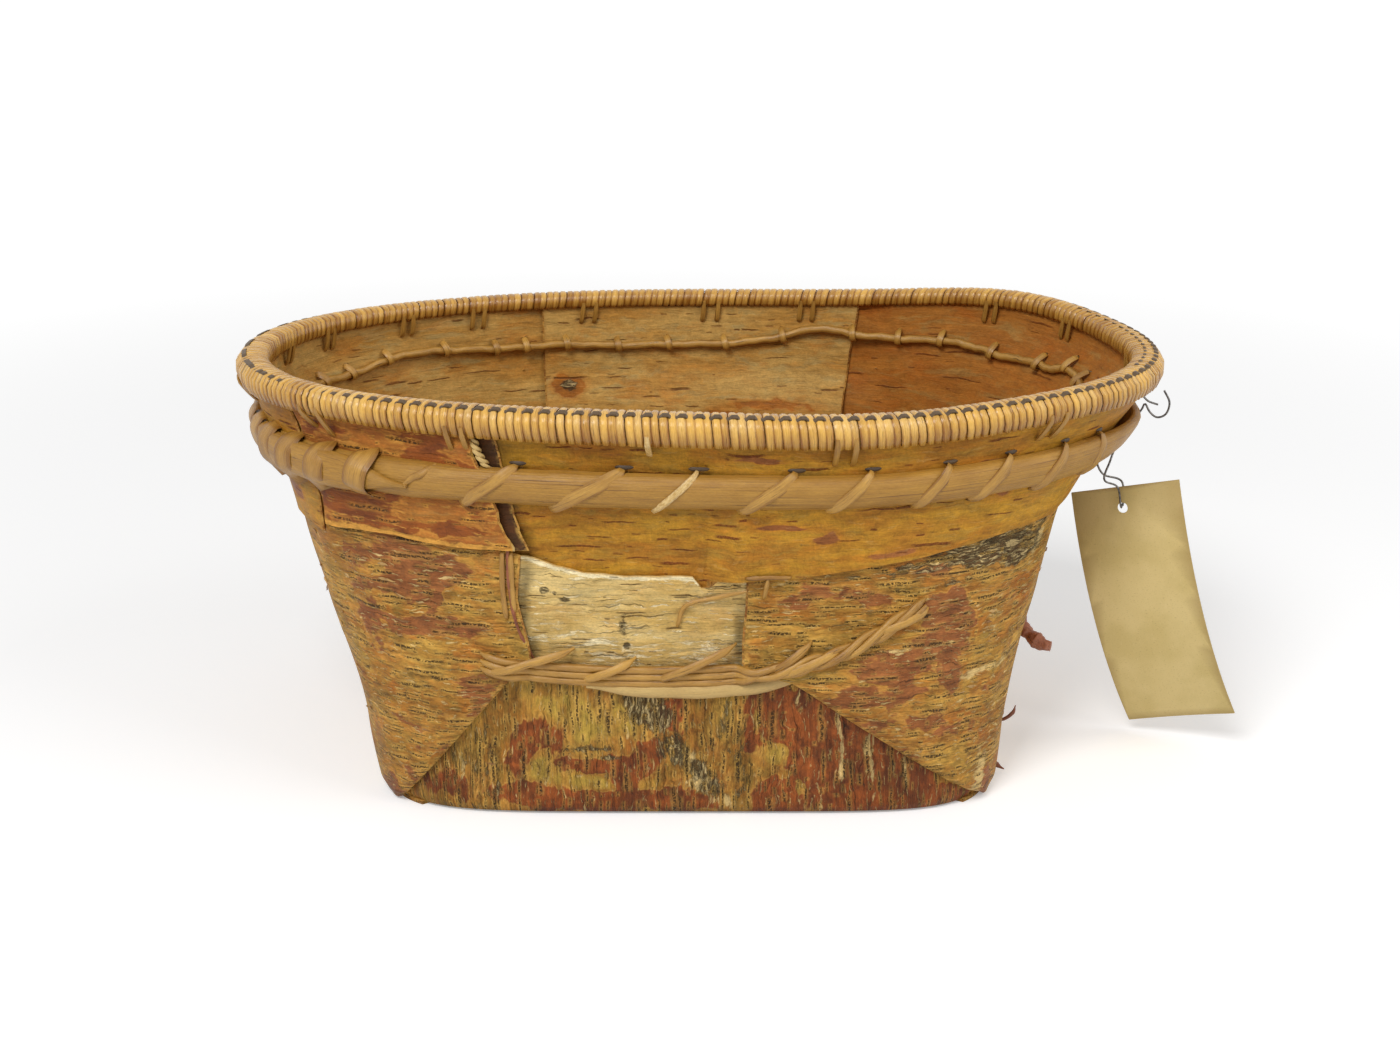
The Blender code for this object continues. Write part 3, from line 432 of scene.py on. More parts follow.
    # dark weathered bark with pale flecks in it
    scarNoise = noise(tree, torn, (1 / 9, 1 / 3.0, 1 / 4), 41.0, 6.0, 0.68)
    scarSum = plus(tree, given["Scar"], centred(tree, scarNoise, 1.9))
    scar = band(tree, scarSum, 0.40, 0.66)
    fleck = band(tree, noise(tree, torn, (1 / 4.2, 1 / 0.75, 1 / 0.9), 43.0, 5.0, 0.7), 0.46, 0.56)
    scarTone = blend(tree, fleck, colour(74, 58, 36), colour(190, 168, 118))
    base = blend(tree, times(tree, 0.88, scar), base, scarTone)
    # lenticels, long and short, straight or broken into dots, and dark cracks
    wander = shifted(tree, lay, (1 / 9, 1 / 6, 0.1), (0.0, 2.4), 47.0)
    longLine, longRim = lenticels(tree, wander, (21.0, 5.2), given["Line Amount"], 10.5, 0.66, 2.0)
    otherLine, otherRim = lenticels(tree, wander, (15.0, 4.1), given["Line Amount"], 6.5, 0.50, 27.0)
    shortLine, shortRim = lenticels(tree, wander, (7.0, 2.6), given["Fine Lines"], 3.2, 0.44, 9.0)
    dots = band(tree, noise(tree, lay, (1 / 0.7, 1 / 0.9, 1.0), 53.0, 1.0), 0.40, 0.56)
    dots = calc(tree, "SUBTRACT", 1.0, times(tree, calc(tree, "SUBTRACT", 1.0, dots), given["Dotted"]))
    longest = calc(tree, "MAXIMUM", longLine, otherLine)
    line = times(tree, calc(tree, "MAXIMUM", longest, times(tree, shortLine, 0.7)), dots)
    rims = calc(tree, "MAXIMUM", calc(tree, "MAXIMUM", longRim, otherRim), shortRim)
    rim = times(tree, rims, times(tree, given["Dotted"], calc(tree, "MULTIPLY_ADD", rust, -0.25, 0.55)))
    crackNoise = noise(tree, torn, (1 / 24, 1 / 0.6, 1 / 0.8), 59.0, 5.0, 0.62)
    crack = times(tree, band(tree, crackNoise, 0.60, 0.70), given["Rough Bark"], clamp=True)
    base = blend(tree, rim, base, given["Rim Colour"])
    base = blend(tree, times(tree, 0.70, crack), base, given["Line Colour"])
    base = blend(tree, times(tree, 0.88, line), base, given["Line Colour"])
    # the cut edges show paler layers, broken up
    cutEdge = times(tree, band(tree, given["Edge"], 0.9, 0.0), band(tree, mottle, 0.40, 0.60))
    base = blend(tree, times(tree, 0.55, cutEdge), base, given["Rim Colour"])
    gain = calc(tree, "MAXIMUM", plus(tree, 1.0, lift), 0.25)
    # the Shade attribute darkens the colour: painted shadow at the foot, beside free edges and near the
    # folds, and a darker tone in some patches
    gain = times(tree, gain, calc(tree, "SUBTRACT", 1.0, times(tree, given["Shade"], 0.70)))
    tree.links.new(shaded(tree, base, gain), result["Color"])
    rough = calc(tree, "MULTIPLY_ADD", mottle, 0.30, 0.40)
    rough = calc(tree, "SUBTRACT", rough, times(tree, rust, 0.07))
    rough = plus(tree, rough, times(tree, calc(tree, "MAXIMUM", scar, pale), 0.16), clamp=True)
    tree.links.new(rough, result["Roughness"])
    height = calc(tree, "MULTIPLY_ADD", mottle, 0.55, times(tree, grain, 0.22))
    height = calc(tree, "MULTIPLY_ADD", streak, 0.45, height)
    height = calc(tree, "SUBTRACT", height, times(tree, rust, 0.16))
    height = calc(tree, "SUBTRACT", height, times(tree, line, 0.45))
    height = calc(tree, "SUBTRACT", height, times(tree, crack, 0.35))
    height = plus(tree, height, times(tree, flake, 0.22))
    height = calc(tree, "MULTIPLY_ADD", times(tree, scar, fleck), 0.9, height)
    height = calc(tree, "MULTIPLY_ADD", pale, 0.18, height)
    tree.links.new(height, result["Height"])
    return tree


def makeSplitFibre():
    tree, given, result = newGroup("splitFibre",
        [("Lay", "NodeSocketVector", None), ("Tone", "NodeSocketFloat", 0.5),
        ("Worn", "NodeSocketFloat", 0.0), ("Light", "NodeSocketColor", None),
        ("Dark", "NodeSocketColor", None), ("Groove", "NodeSocketColor", None),
        ("Grain Width", "NodeSocketFloat", 0.3), ("Grain Length", "NodeSocketFloat", 14.0),
        ("Contrast", "NodeSocketFloat", 0.5)],
        [("Color", "NodeSocketColor"), ("Roughness", "NodeSocketFloat"), ("Height", "NodeSocketFloat")])
    across = calc(tree, "DIVIDE", 1.0, given["Grain Width"])
    lengthwise = calc(tree, "DIVIDE", 1.0, given["Grain Length"])
    scale = put(tree, "ShaderNodeCombineXYZ", {0: lengthwise, 1: across, 2: across})
    lay = scaled(tree, given["Lay"], inMillimetres)
    place = put(tree, "ShaderNodeVectorMath", {0: lay, 1: scale.outputs[0]}, operation="MULTIPLY").outputs[0]
    fibre = put(tree, "ShaderNodeTexNoise",
        {"Vector": place, "Scale": 1.0, "Detail": 4.0, "Roughness": 0.6}).outputs["Fac"]
    patchy = noise(tree, lay, (1 / 9, 1 / 3, 1 / 3), 5.0, 3.0)
    speck = noise(tree, lay, (1 / 1.2, 1 / 0.5, 1 / 0.5), 15.0, 2.0)
    mixSum = calc(tree, "MULTIPLY_ADD", calc(tree, "SUBTRACT", patchy, 0.5), 1.1, given["Tone"])
    mixSum = calc(tree, "MULTIPLY_ADD", calc(tree, "SUBTRACT", fibre, 0.5), given["Contrast"], mixSum,
        clamp=True)
    base = blend(tree, mixSum, given["Dark"], given["Light"])
    groove = times(tree, band(tree, fibre, 0.40, 0.28), given["Contrast"])
    base = blend(tree, times(tree, groove, 0.8), base, given["Groove"])
    base = blend(tree, times(tree, given["Worn"], band(tree, speck, 0.10, 0.75)), base, colour(236, 214, 160))
    gain = calc(tree, "MULTIPLY_ADD", calc(tree, "SUBTRACT", speck, 0.5), 0.35, 1.0)
    tree.links.new(shaded(tree, base, gain), result["Color"])
    tree.links.new(calc(tree, "MULTIPLY_ADD", fibre, 0.3, 0.26), result["Roughness"])
    tree.links.new(calc(tree, "MULTIPLY_ADD", speck, 0.3, fibre), result["Height"])
    return tree


birchSkin = makeBirchSkin()
splitFibre = makeSplitFibre()


def attribute(tree, name, output="Fac"):
    return put(tree, "ShaderNodeAttribute", attribute_name=name, attribute_type="GEOMETRY").outputs[output]


def finishMaterial(name, group, values, bumpDepth, roughShift, specular):
    # values: a tuple is a colour, a word is a painted attribute
    made, tree, shader = newMaterial(name)
    skin = tree.nodes.new("ShaderNodeGroup")
    skin.node_tree = group
    for key, value in values.items():
        if isinstance(value, tuple):
            value = colour(*value)
        if isinstance(value, str):
            value = attribute(tree, value, "Vector" if value == "lay" else "Fac")
        if isinstance(value, bpy.types.NodeSocket):
            tree.links.new(value, skin.inputs[key])
        else:
            skin.inputs[key].default_value = value
    tree.links.new(skin.outputs["Color"], shader.inputs["Base Color"])
    rough = skin.outputs["Roughness"]
    if roughShift:
        rough = plus(tree, rough, roughShift, clamp=True)
    tree.links.new(rough, shader.inputs["Roughness"])
    relief = put(tree, "ShaderNodeBump",
        {"Height": skin.outputs["Height"], "Strength": 1.0, "Distance": bumpDepth})
    tree.links.new(relief.outputs[0], shader.inputs["Normal"])
    shader.inputs["Specular IOR Level"].default_value = specular
    return made


barkNames = {"ground": "Ground", "second": "Second", "olive": "Olive", "warm": "Warm", "rust": "Rust Colour",
    "deep": "Deep Rust", "pale": "Pale Colour", "line": "Line Colour", "rim": "Rim Colour",
    "lines": "Line Amount", "fineLines": "Fine Lines", "dotted": "Dotted", "mottle": "Mottle",
    "streaks": "Streaks", "rustBase": "Rust Base", "flakes": "Flakes", "wrinkles": "Wrinkles",
    "roughBark": "Rough Bark"}


def barkMaterial(name, seed, bumpDepth=0.0006, roughShift=0.0, **changes):
    values = {"Lay": "lay", "Rust": "rust", "Pale": "pale", "Scar": "scar", "Shade": "shade",
        "Yellow": "yellow", "Edge": "edge", "Seed": seed, "Ground": (178, 134, 56), "Second": (160, 110, 40),
        "Olive": (144, 114, 46), "Warm": (172, 102, 34), "Rust Colour": (150, 92, 50),
        "Deep Rust": (128, 74, 40), "Pale Colour": (214, 184, 122), "Line Colour": (52, 36, 16),
        "Rim Colour": (202, 160, 80), "Line Amount": 0.6, "Fine Lines": 0.45, "Dotted": 1.0, "Mottle": 1.0,
        "Streaks": 0.9, "Rust Base": 0.0, "Flakes": 0.35, "Wrinkles": 0.16, "Rough Bark": 0.4}
    for key, value in changes.items():
        values[barkNames[key]] = value
    return finishMaterial(name, birchSkin, values, bumpDepth, roughShift, 0.18)


wrapBark = barkMaterial("wrapBark", 12.0, 0.0011, ground=(192, 148, 66), second=(154, 106, 40),
    olive=(146, 118, 52), warm=(170, 98, 36), lines=0.72, fineLines=0.5, rustBase=0.10, flakes=0.8,
    roughBark=0.8, mottle=1.7, streaks=1.4)
flapBark = barkMaterial("flapBark", 140.0, 0.0014, ground=(184, 142, 62), second=(150, 108, 42),
    olive=(136, 112, 48), lines=0.6, fineLines=0.5, streaks=1.8, mottle=1.8, rustBase=0.20, flakes=0.6,
    roughBark=1.0, warm=(158, 92, 36), rust=(142, 72, 32), deep=(100, 48, 26))
panelBark = barkMaterial("panelBark", 61.0, 0.0005, ground=(188, 138, 42), second=(162, 108, 34),
    olive=(162, 124, 48), warm=(178, 112, 34), lines=0.28, fineLines=0.14, dotted=0.25, mottle=1.1,
    streaks=0.9, wrinkles=0.5, flakes=0.12, roughBark=0.25, line=(100, 44, 14), rim=(170, 118, 48))
redBark = barkMaterial("redBark", 88.0, 0.0008, ground=(178, 118, 50), second=(150, 90, 40),
    olive=(150, 114, 62), warm=(168, 98, 38), rustBase=0.36, lines=0.3, fineLines=0.2, streaks=1.0,
    mottle=1.1, rim=(210, 152, 66), rust=(142, 76, 30), deep=(114, 58, 28), flakes=0.6, pale=(212, 154, 70))
patchBark = barkMaterial("patchBark", 33.0, 0.0010, 0.1, ground=(224, 194, 128), second=(204, 168, 96),
    olive=(200, 176, 118), warm=(202, 158, 90), lines=0.24, fineLines=0.12, dotted=0.2, streaks=1.3,
    mottle=0.6, pale=(250, 234, 190), rim=(184, 146, 82), line=(96, 68, 32), flakes=0.7, roughBark=1.3)
insideBark = barkMaterial("insideBark", 205.0, 0.0005, ground=(194, 154, 84), second=(182, 134, 62),
    olive=(178, 152, 94), warm=(184, 118, 44), lines=0.10, fineLines=0.06, dotted=0.1, mottle=0.85,
    streaks=0.9, line=(112, 68, 28), rim=(164, 118, 58), rust=(170, 104, 38), deep=(150, 88, 32), flakes=0.08,
    roughBark=0.3)
insideWarm = barkMaterial("insideWarm", 260.0, 0.0005, ground=(172, 112, 44), second=(158, 98, 36),
    olive=(164, 126, 66), warm=(170, 94, 26), lines=0.22, fineLines=0.05, dotted=0.1, mottle=0.8, streaks=0.6,
    line=(110, 58, 18), rim=(150, 98, 40), rust=(156, 88, 26), deep=(140, 76, 22), flakes=0.04,
    roughBark=0.25)
edgeBark = barkMaterial("edgeBark", 7.0, 0.0004, ground=(170, 118, 54), second=(120, 70, 30), lines=0.0,
    fineLines=0.0, streaks=1.2)
# dark material for the sheet in the slot by the left front panel: painted shadow and dark bark
slotShadowBark = barkMaterial("slotShadowBark", 19.0, 0.0005, ground=(84, 54, 28), second=(62, 38, 20),
    olive=(70, 50, 28), warm=(96, 54, 24), lines=0.1, fineLines=0.0, flakes=0.0)


def fibreMaterial(name, light, dark, groove, width, length, contrast, bumpDepth, roughShift=0.0):
    values = {"Lay": "lay", "Tone": "tone", "Worn": "worn", "Light": light, "Dark": dark, "Groove": groove,
        "Grain Width": width, "Grain Length": length, "Contrast": contrast}
    return finishMaterial(name, splitFibre, values, bumpDepth, roughShift, 0.45)


wrapRoot = fibreMaterial("wrapRoot", (228, 178, 84), (146, 94, 32), (74, 44, 16), 0.35, 8.0, 1.0, 0.00012,
    -0.14)
lashRoot = fibreMaterial("lashRoot", (196, 150, 70), (140, 96, 36), (74, 48, 18), 0.4, 12.0, 1.1, 0.0002,
    -0.04)
battenWood = fibreMaterial("battenWood", (182, 136, 56), (144, 100, 34), (90, 60, 26), 0.5, 45.0, 1.3, 0.0003,
    0.04)
splintWood = fibreMaterial("splintWood", (204, 172, 108), (166, 130, 72), (106, 76, 40), 0.4, 24.0, 0.9,
    0.0002, 0.08)
darkStrip = fibreMaterial("darkStrip", (104, 80, 48), (66, 50, 32), (34, 26, 16), 0.3, 6.0, 0.6, 0.0001, 0.1)
flakeBark = fibreMaterial("flakeBark", (204, 164, 98), (126, 84, 40), (64, 42, 20), 0.5, 3.0, 1.3, 0.0002,
    0.08)
redRoot = fibreMaterial("redRoot", (170, 104, 72), (122, 66, 40), (74, 38, 24), 0.6, 5.0, 1.2, 0.0004, 0.1)
print("materials ready")


# Making pieces

def makePiece(name, bm, materials, values, body, nodes=(), smoothUnder=40.0):
    # values holds one number, or one vector, for each point, in the bmesh's own order
    bmesh.ops.recalc_face_normals(bm, faces=bm.faces)
    mesh = bpy.data.meshes.new(name)
    bm.to_mesh(mesh)
    bm.free()
    for key, value in values.items():
        value = arr(value)
        if value.ndim == 2:
            mesh.attributes.new(key, "FLOAT_VECTOR", "POINT").data.foreach_set("vector", value.ravel())
        else:
            mesh.attributes.new(key, "FLOAT", "POINT").data.foreach_set("value", value)
    for made in materials:
        mesh.materials.append(made)
    mesh.polygons.foreach_set("use_smooth", [True] * len(mesh.polygons))
    mesh.set_sharp_from_angle(angle=math.radians(smoothUnder))
    piece = newObject(name, mesh)
    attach(piece, body)
    if nodes:
        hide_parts(*nodes)
    return piece


def setPoints(bm, places):
    for vertex, place in zip(bm.verts, places):
        vertex.co = place


def pointArray(bm):
    return arr([vertex.co[:] for vertex in bm.verts])


# Bark sheets
sheetSettings = {"edgeBulge": 0.00022, "floorThick": 0.0012, "floorLift": 0.0001, "floorReach": 0.0006}


def spotsOn(side, entries):
    # listed blotches: x, height, half width, half height, strength; on the ends x is a station
    found = []
    for x, height, wide, tall, strength in entries:
        station = x if side == "end" else stationAt(x, height, side)
        found.append((float(girth(station)), height, wide, tall, strength))
    return found


def paint(spots, along, up):
    total = np.zeros(len(along))
    for n, (centre, height, wide, tall, strength) in enumerate(spots):
        across = np.mod(along - centre + 0.5 * girthTotal, girthTotal) - 0.5 * girthTotal
        across = across + 0.30 * wide * wobble(up, n + 1.0, 0.021)
        lift = up - height + 0.35 * tall * wobble(along, n + 4.0, 0.024)
        d = (across / wide) ** 2 + (lift / tall) ** 2
        total = np.maximum(total, strength * np.exp(-d ** 1.4))
    return total


def sheetGrid(columns, rows):
    # a flat unit sheet with thickness: x and y run 0 to 1, z is 0 inside and 1 outside
    bm = bmesh.new()
    bmesh.ops.create_grid(bm, x_segments=columns, y_segments=rows, size=0.5)
    bmesh.ops.translate(bm, verts=bm.verts, vec=(0.5, 0.5, 0.0))
    grown = bmesh.ops.extrude_face_region(bm, geom=bm.faces[:])
    lifted = [item for item in grown["geom"] if isinstance(item, bmesh.types.BMVert)]
    bmesh.ops.translate(bm, verts=lifted, vec=(0.0, 0.0, 1.0))
    rim = [edge for edge in bm.edges if abs(edge.verts[0].co.z - edge.verts[1].co.z) > 0.5]
    bmesh.ops.subdivide_edges(bm, edges=rim, cuts=1, use_grid_fill=True)
    for face in bm.faces:
        z = face.calc_center_median().z
        face.material_index = 0 if z > 0.99 else 1 if z < 0.01 else 2
    bm.verts.index_update()
    return bm


def alongEdge(points):
    # sorted by height: rows of station, height
    return arr(sorted(points, key=lambda p: p[1]))


def addSheet(name, sheet, outer, inner, nodes):
    columns, rows = sheet["grid"]
    bm = sheetGrid(columns, rows)
    flat = pointArray(bm)
    u, v, side = flat[:, 0], flat[:, 1], flat[:, 2]
    left, right = alongEdge(sheet["left"]), alongEdge(sheet["right"])
    low, high = sheet.get("low", 0.0), sheet.get("high", wallTop)
    rag = sheet.get("ragged", (0, 0, 0, 0))
    seed = sheet.get("seed", 1.0)
    station = np.full(len(u), 0.5 * (left[0, 0] + right[0, 0]))
    # the edges lean, so station and height are settled together in a few turns
    for turn in range(12):
        lowAt = low if np.isscalar(low) else np.interp(station, arr(low)[:, 0], arr(low)[:, 1])
        highAt = high if np.isscalar(high) else np.interp(station, arr(high)[:, 0], arr(high)[:, 1])
        lowAt = lowAt + rag[2] * wobble(station, seed + 1, 2.5)
        highAt = highAt + rag[3] * wobble(station, seed + 2, 2.5)
        height = lowAt + (highAt - lowAt) * v
        leftAt = np.interp(height, left[:, 1], left[:, 0])
        leftAt = leftAt + rag[0] * wobble(height, seed + 3, 0.03) * raggedStations
        rightAt = np.interp(height, right[:, 1], right[:, 0])
        rightAt = rightAt + rag[1] * wobble(height, seed + 4, 0.03) * raggedStations
        station = leftAt + (rightAt - leftAt) * u
    middle = (side > 0.1) & (side < 0.9)
    bulge = sheetSettings["edgeBulge"] * middle
    atLeft, atRight, atLow, atHigh = u < 1e-6, u > 1 - 1e-6, v < 1e-6, v > 1 - 1e-6
    station = station + bulge * raggedStations * (atRight.astype(float) - atLeft)
    height = height + bulge * (atHigh.astype(float) - atLow)
    offset = sheet["offset"](station, height)
    if "curl" in sheet:
        offset = offset + sheet["curl"](u, v, station, height)
    thick = sheet.get("thick", bark)
    places = wallPoints(station, height, offset + side * thick, sheet.get("foot"))
    if "foldBelow" in sheet:
        # the diagonal folds have a rounded lip instead of a cut edge
        for face in bm.faces:
            if face.material_index == 2 and flat[face.verts[0].index, 1] > 1e-6:
                if max(height[v2.index] for v2 in face.verts) < sheet["foldBelow"]:
                    face.material_index = 0
    setPoints(bm, places)
    along, up = girth(station), height
    lay = np.stack((along, up, side * thick), axis=1)
    if sheet.get("turned"):
        lay = np.stack((up, along, side * thick), axis=1)
    edge = np.minimum(np.minimum(u * columns, (1 - u) * columns), np.minimum(v * rows, (1 - v) * rows))
    values = {"lay": lay, "edge": edge}
    for kind in ("rust", "pale", "scar", "shade", "yellow"):
        within = sheet.get("inner", {}).get(kind, [])
        values[kind] = paint(sheet.get(kind, []), along, up) * side + paint(within, along, up) * (1 - side)
    values["rust"] = values["rust"] * (1 - 0.9 * np.clip(values["yellow"], 0, 1))
    if "fringe" in sheet:
        values["pale"] = np.maximum(values["pale"], sheet["fringe"](u, v, station, height))
    return makePiece(name, bm, [outer, inner, edgeBark], values, "basket", nodes)


# Offsets of the sheets' inner faces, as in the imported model

def wrapOffset(station, height):
    height = arr(height)
    found = surface(station, height)
    lowPart = layer[4] + (layer[2] - layer[4]) * np.clip((height - foldTop) / (foldEnd - foldTop), 0, 1)
    rise = np.clip((height - seamLow) / (seamHigh - seamLow), 0, 1)
    near = np.clip((wallShape["seamReach"] - np.abs(found[..., 0])) / wallShape["seamEase"], 0, 1)
    onBack = found[..., 1] > 0
    return lowPart + np.where(onBack, rise * near * layer[1], 0.0)


def coverOffset(station, height):
    return wrapOffset(station, height) + layer[1]


def centreOffset(station, height):
    return layer[2] * np.clip((arr(height) - seamLow) / (seamHigh - seamLow), 0, 1)


def frontPanelOffset(station, height):
    share = np.clip(arr(station) / 0.5, 0, 1)
    inside = centreOffset(station, height)
    return inside + share * (layer[3] - inside)


def flatOffset(level):
    return lambda station, height: np.full(np.shape(station), level)


bodySettings = {"creaseLeft": ((-0.112, 0.0), (-0.068, 0.0545)),
    "creaseRight": ((0.107, 0.0), (0.034, 0.0535)), "flapLeft": -0.108, "flapRight": 0.102, "flapTop": 0.054,
    "lip": 0.0012, "pleatLow": 0.0004, "pleatTop": 0.048, "pleatInset": 0.0012}


def creaseLine(crease, place, inboard=0.0, top=None):
    (x0, z0), (x1, z1) = crease
    top = z1 if top is None else top
    heights = np.linspace(z0, top, 10)
    return [place(x0 + (x1 - x0) * (h - z0) / (z1 - z0) + inboard, h) for h in heights]


def foldLip(depth, top):
    # the wall sinks towards its fold, and stands a little proud just beside it
    def curl(u, v, station, height):
        atFold = np.minimum(u, 1 - u) * 60
        sunk = -depth * np.exp(-(atFold / 0.6) ** 2) + 0.4 * depth * np.exp(-((atFold - 2.5) / 1.8) ** 2)
        return sunk * (1 - soft(height, top - 0.004, top + 0.006))
    return curl


leftRust = spotsOn("front", [(-0.1015, 0.091, 0.018, 0.014, 1.0), (-0.118, 0.080, 0.010, 0.020, 0.55),
    (-0.092, 0.0730, 0.024, 0.0045, 0.8), (-0.114, 0.004, 0.010, 0.007, 1.0),
    (-0.124, 0.098, 0.012, 0.016, 0.42), (-0.078, 0.053, 0.014, 0.006, 0.5),
    (-0.098, 0.032, 0.022, 0.012, 0.34), (-0.108, 0.060, 0.012, 0.012, 0.32),
    (-0.074, 0.101, 0.012, 0.004, 0.3), (-0.104, 0.012, 0.008, 0.010, 0.45),
    (-0.090, 0.027, 0.006, 0.009, 0.45), (-0.077, 0.044, 0.006, 0.009, 0.45)])
# painted shade on the left end wall: along the foot, below the lower edge of the panel above, and in a thin
# band near the top of the left fold
leftPaintedShade = spotsOn("front", [(-0.130, 0.098, 0.012, 0.012, 0.30), (-0.110, 0.002, 0.03, 0.004, 0.45),
    (-0.075, 0.0565, 0.014, 0.0022, 0.35)])
rightRust = spotsOn("front", [(0.087, 0.073, 0.013, 0.013, 1.05), (0.070, 0.058, 0.014, 0.008, 0.95),
    (0.057, 0.086, 0.010, 0.005, 0.75), (0.042, 0.089, 0.010, 0.005, 0.5), (0.060, 0.050, 0.024, 0.009, 0.55),
    (0.090, 0.056, 0.008, 0.012, 0.6), (0.088, 0.092, 0.012, 0.005, 0.4), (0.104, 0.006, 0.010, 0.008, 0.85),
    (0.080, 0.034, 0.020, 0.010, 0.42), (0.058, 0.036, 0.012, 0.006, 0.6), (0.030, 0.084, 0.010, 0.004, 0.45),
    (0.112, 0.080, 0.010, 0.016, 0.25), (0.100, 0.036, 0.012, 0.016, 0.28),
    (0.0735, 0.024, 0.010, 0.005, 0.55)])
rightScar = spotsOn("front", [(0.100, 0.0970, 0.026, 0.0055, 1.0), (0.112, 0.0975, 0.020, 0.008, 1.1),
    (0.076, 0.0945, 0.016, 0.0025, 0.8), (0.085, 0.0885, 0.024, 0.0022, 0.55),
    (0.048, 0.0925, 0.018, 0.0012, 0.5), (0.090, 0.0645, 0.016, 0.0012, 0.5)])
rightPale = spotsOn("front", [(0.1215, 0.097, 0.0065, 0.007, 1.0), (0.1190, 0.080, 0.007, 0.014, 0.48),
    (0.1110, 0.050, 0.007, 0.012, 0.46), (0.1090, 0.024, 0.008, 0.012, 0.5),
    (0.101, 0.053, 0.014, 0.0022, 0.9), (0.103, 0.018, 0.007, 0.008, 0.7),
    (0.074, 0.066, 0.024, 0.0016, 0.65), (0.101, 0.007, 0.007, 0.007, 0.95),
    (0.106, 0.070, 0.008, 0.016, 0.42), (0.096, 0.083, 0.016, 0.0016, 0.55),
    (0.030, 0.0915, 0.014, 0.0012, 0.6), (0.108, 0.045, 0.006, 0.010, 0.4)])
flapRust = spotsOn("front", [(-0.064, 0.028, 0.0055, 0.012, 0.9), (-0.060, 0.008, 0.016, 0.0055, 1.0),
    (-0.036, 0.006, 0.018, 0.0045, 1.1), (-0.040, 0.020, 0.012, 0.0035, 0.9),
    (-0.028, 0.016, 0.006, 0.010, 0.8), (-0.052, 0.034, 0.004, 0.008, 0.55),
    (0.0270, 0.040, 0.0085, 0.014, 1.6), (0.043, 0.033, 0.0105, 0.030, 1.7),
    (0.028, 0.008, 0.010, 0.008, 1.3), (0.066, 0.020, 0.015, 0.030, 1.6), (0.056, 0.014, 0.010, 0.028, 1.5),
    (0.052, 0.044, 0.006, 0.010, 1.2), (-0.020, 0.024, 0.006, 0.008, 0.8),
    (-0.010, 0.006, 0.016, 0.005, 0.95), (0.090, 0.004, 0.020, 0.005, 1.1),
    (-0.010, 0.042, 0.006, 0.007, 0.8), (0.083, 0.016, 0.006, 0.012, 0.8),
    (-0.090, 0.010, 0.014, 0.006, 0.55)])
flapScar = spotsOn("front", [(-0.0200, 0.046, 0.0072, 0.0085, 1.35), (-0.0145, 0.038, 0.0060, 0.0070, 1.15),
    (-0.0085, 0.029, 0.0060, 0.0070, 1.05), (-0.001, 0.019, 0.0060, 0.0050, 0.9),
    (0.004, 0.012, 0.0070, 0.0050, 0.8), (0.0075, 0.036, 0.0035, 0.018, 0.62),
    (0.0155, 0.026, 0.0030, 0.022, 0.55), (-0.080, 0.016, 0.012, 0.020, 0.42),
    (-0.040, 0.027, 0.010, 0.0018, 0.8), (-0.033, 0.0235, 0.005, 0.0018, 0.8)])
flapPale = spotsOn("front", [(-0.005, 0.0235, 0.005, 0.004, 1.0), (0.001, 0.014, 0.006, 0.004, 0.95),
    (0.010, 0.006, 0.008, 0.004, 0.7), (-0.046, 0.016, 0.004, 0.0016, 0.6),
    (0.0105, 0.034, 0.0014, 0.016, 0.6), (0.0500, 0.030, 0.0016, 0.022, 0.85),
    (0.0610, 0.022, 0.0016, 0.020, 0.8), (0.0745, 0.016, 0.0016, 0.014, 0.6),
    (0.0345, 0.040, 0.0014, 0.012, 0.6), (-0.088, 0.018, 0.004, 0.014, 0.45)])
flapYellow = spotsOn("front", [(-0.054, 0.0175, 0.010, 0.0055, 1.0), (-0.038, 0.0130, 0.008, 0.0040, 0.9),
    (0.0275, 0.025, 0.0060, 0.0055, 1.1), (-0.040, 0.040, 0.022, 0.010, 0.8),
    (0.021, 0.035, 0.0025, 0.020, 0.7), (-0.018, 0.012, 0.006, 0.003, 0.8),
    (0.036, 0.012, 0.003, 0.006, 0.8)])
# on the front flap: the wide band at height 0 is painted shadow along the foot; the other spots darken the
# bark in patches and streaks
flapShadowAndDark = spotsOn("front", [(-0.100, 0.010, 0.016, 0.012, 0.35), (0.066, 0.020, 0.010, 0.026, 0.32),
    (0.0545, 0.012, 0.004, 0.024, 0.30), (0.046, 0.036, 0.003, 0.014, 0.2),
    (-0.086, 0.030, 0.010, 0.010, 0.25), (0.016, 0.030, 0.003, 0.022, 0.3),
    (0.000, 0.030, 0.0024, 0.022, 0.3), (0.0, 0.000, 0.15, 0.0028, 0.75), (-0.072, 0.040, 0.006, 0.010, 0.3)])
backRust = spotsOn("back", [(0.070, 0.070, 0.022, 0.013, 0.8), (-0.080, 0.080, 0.024, 0.011, 0.8),
    (-0.095, 0.030, 0.016, 0.012, 0.7), (0.085, 0.028, 0.016, 0.013, 0.7)])
endRust = spotsOn("end", [(12.0, 0.060, 0.020, 0.013, 0.6), (14.0, 0.030, 0.022, 0.012, 0.6),
    (36.5, 0.070, 0.022, 0.013, 0.6), (34.0, 0.034, 0.022, 0.012, 0.7), (38.0, 0.020, 0.018, 0.010, 0.5)])
endScar = spotsOn("end", [(11.0, 0.100, 0.018, 0.007, 0.8), (37.0, 0.095, 0.020, 0.006, 0.5)])


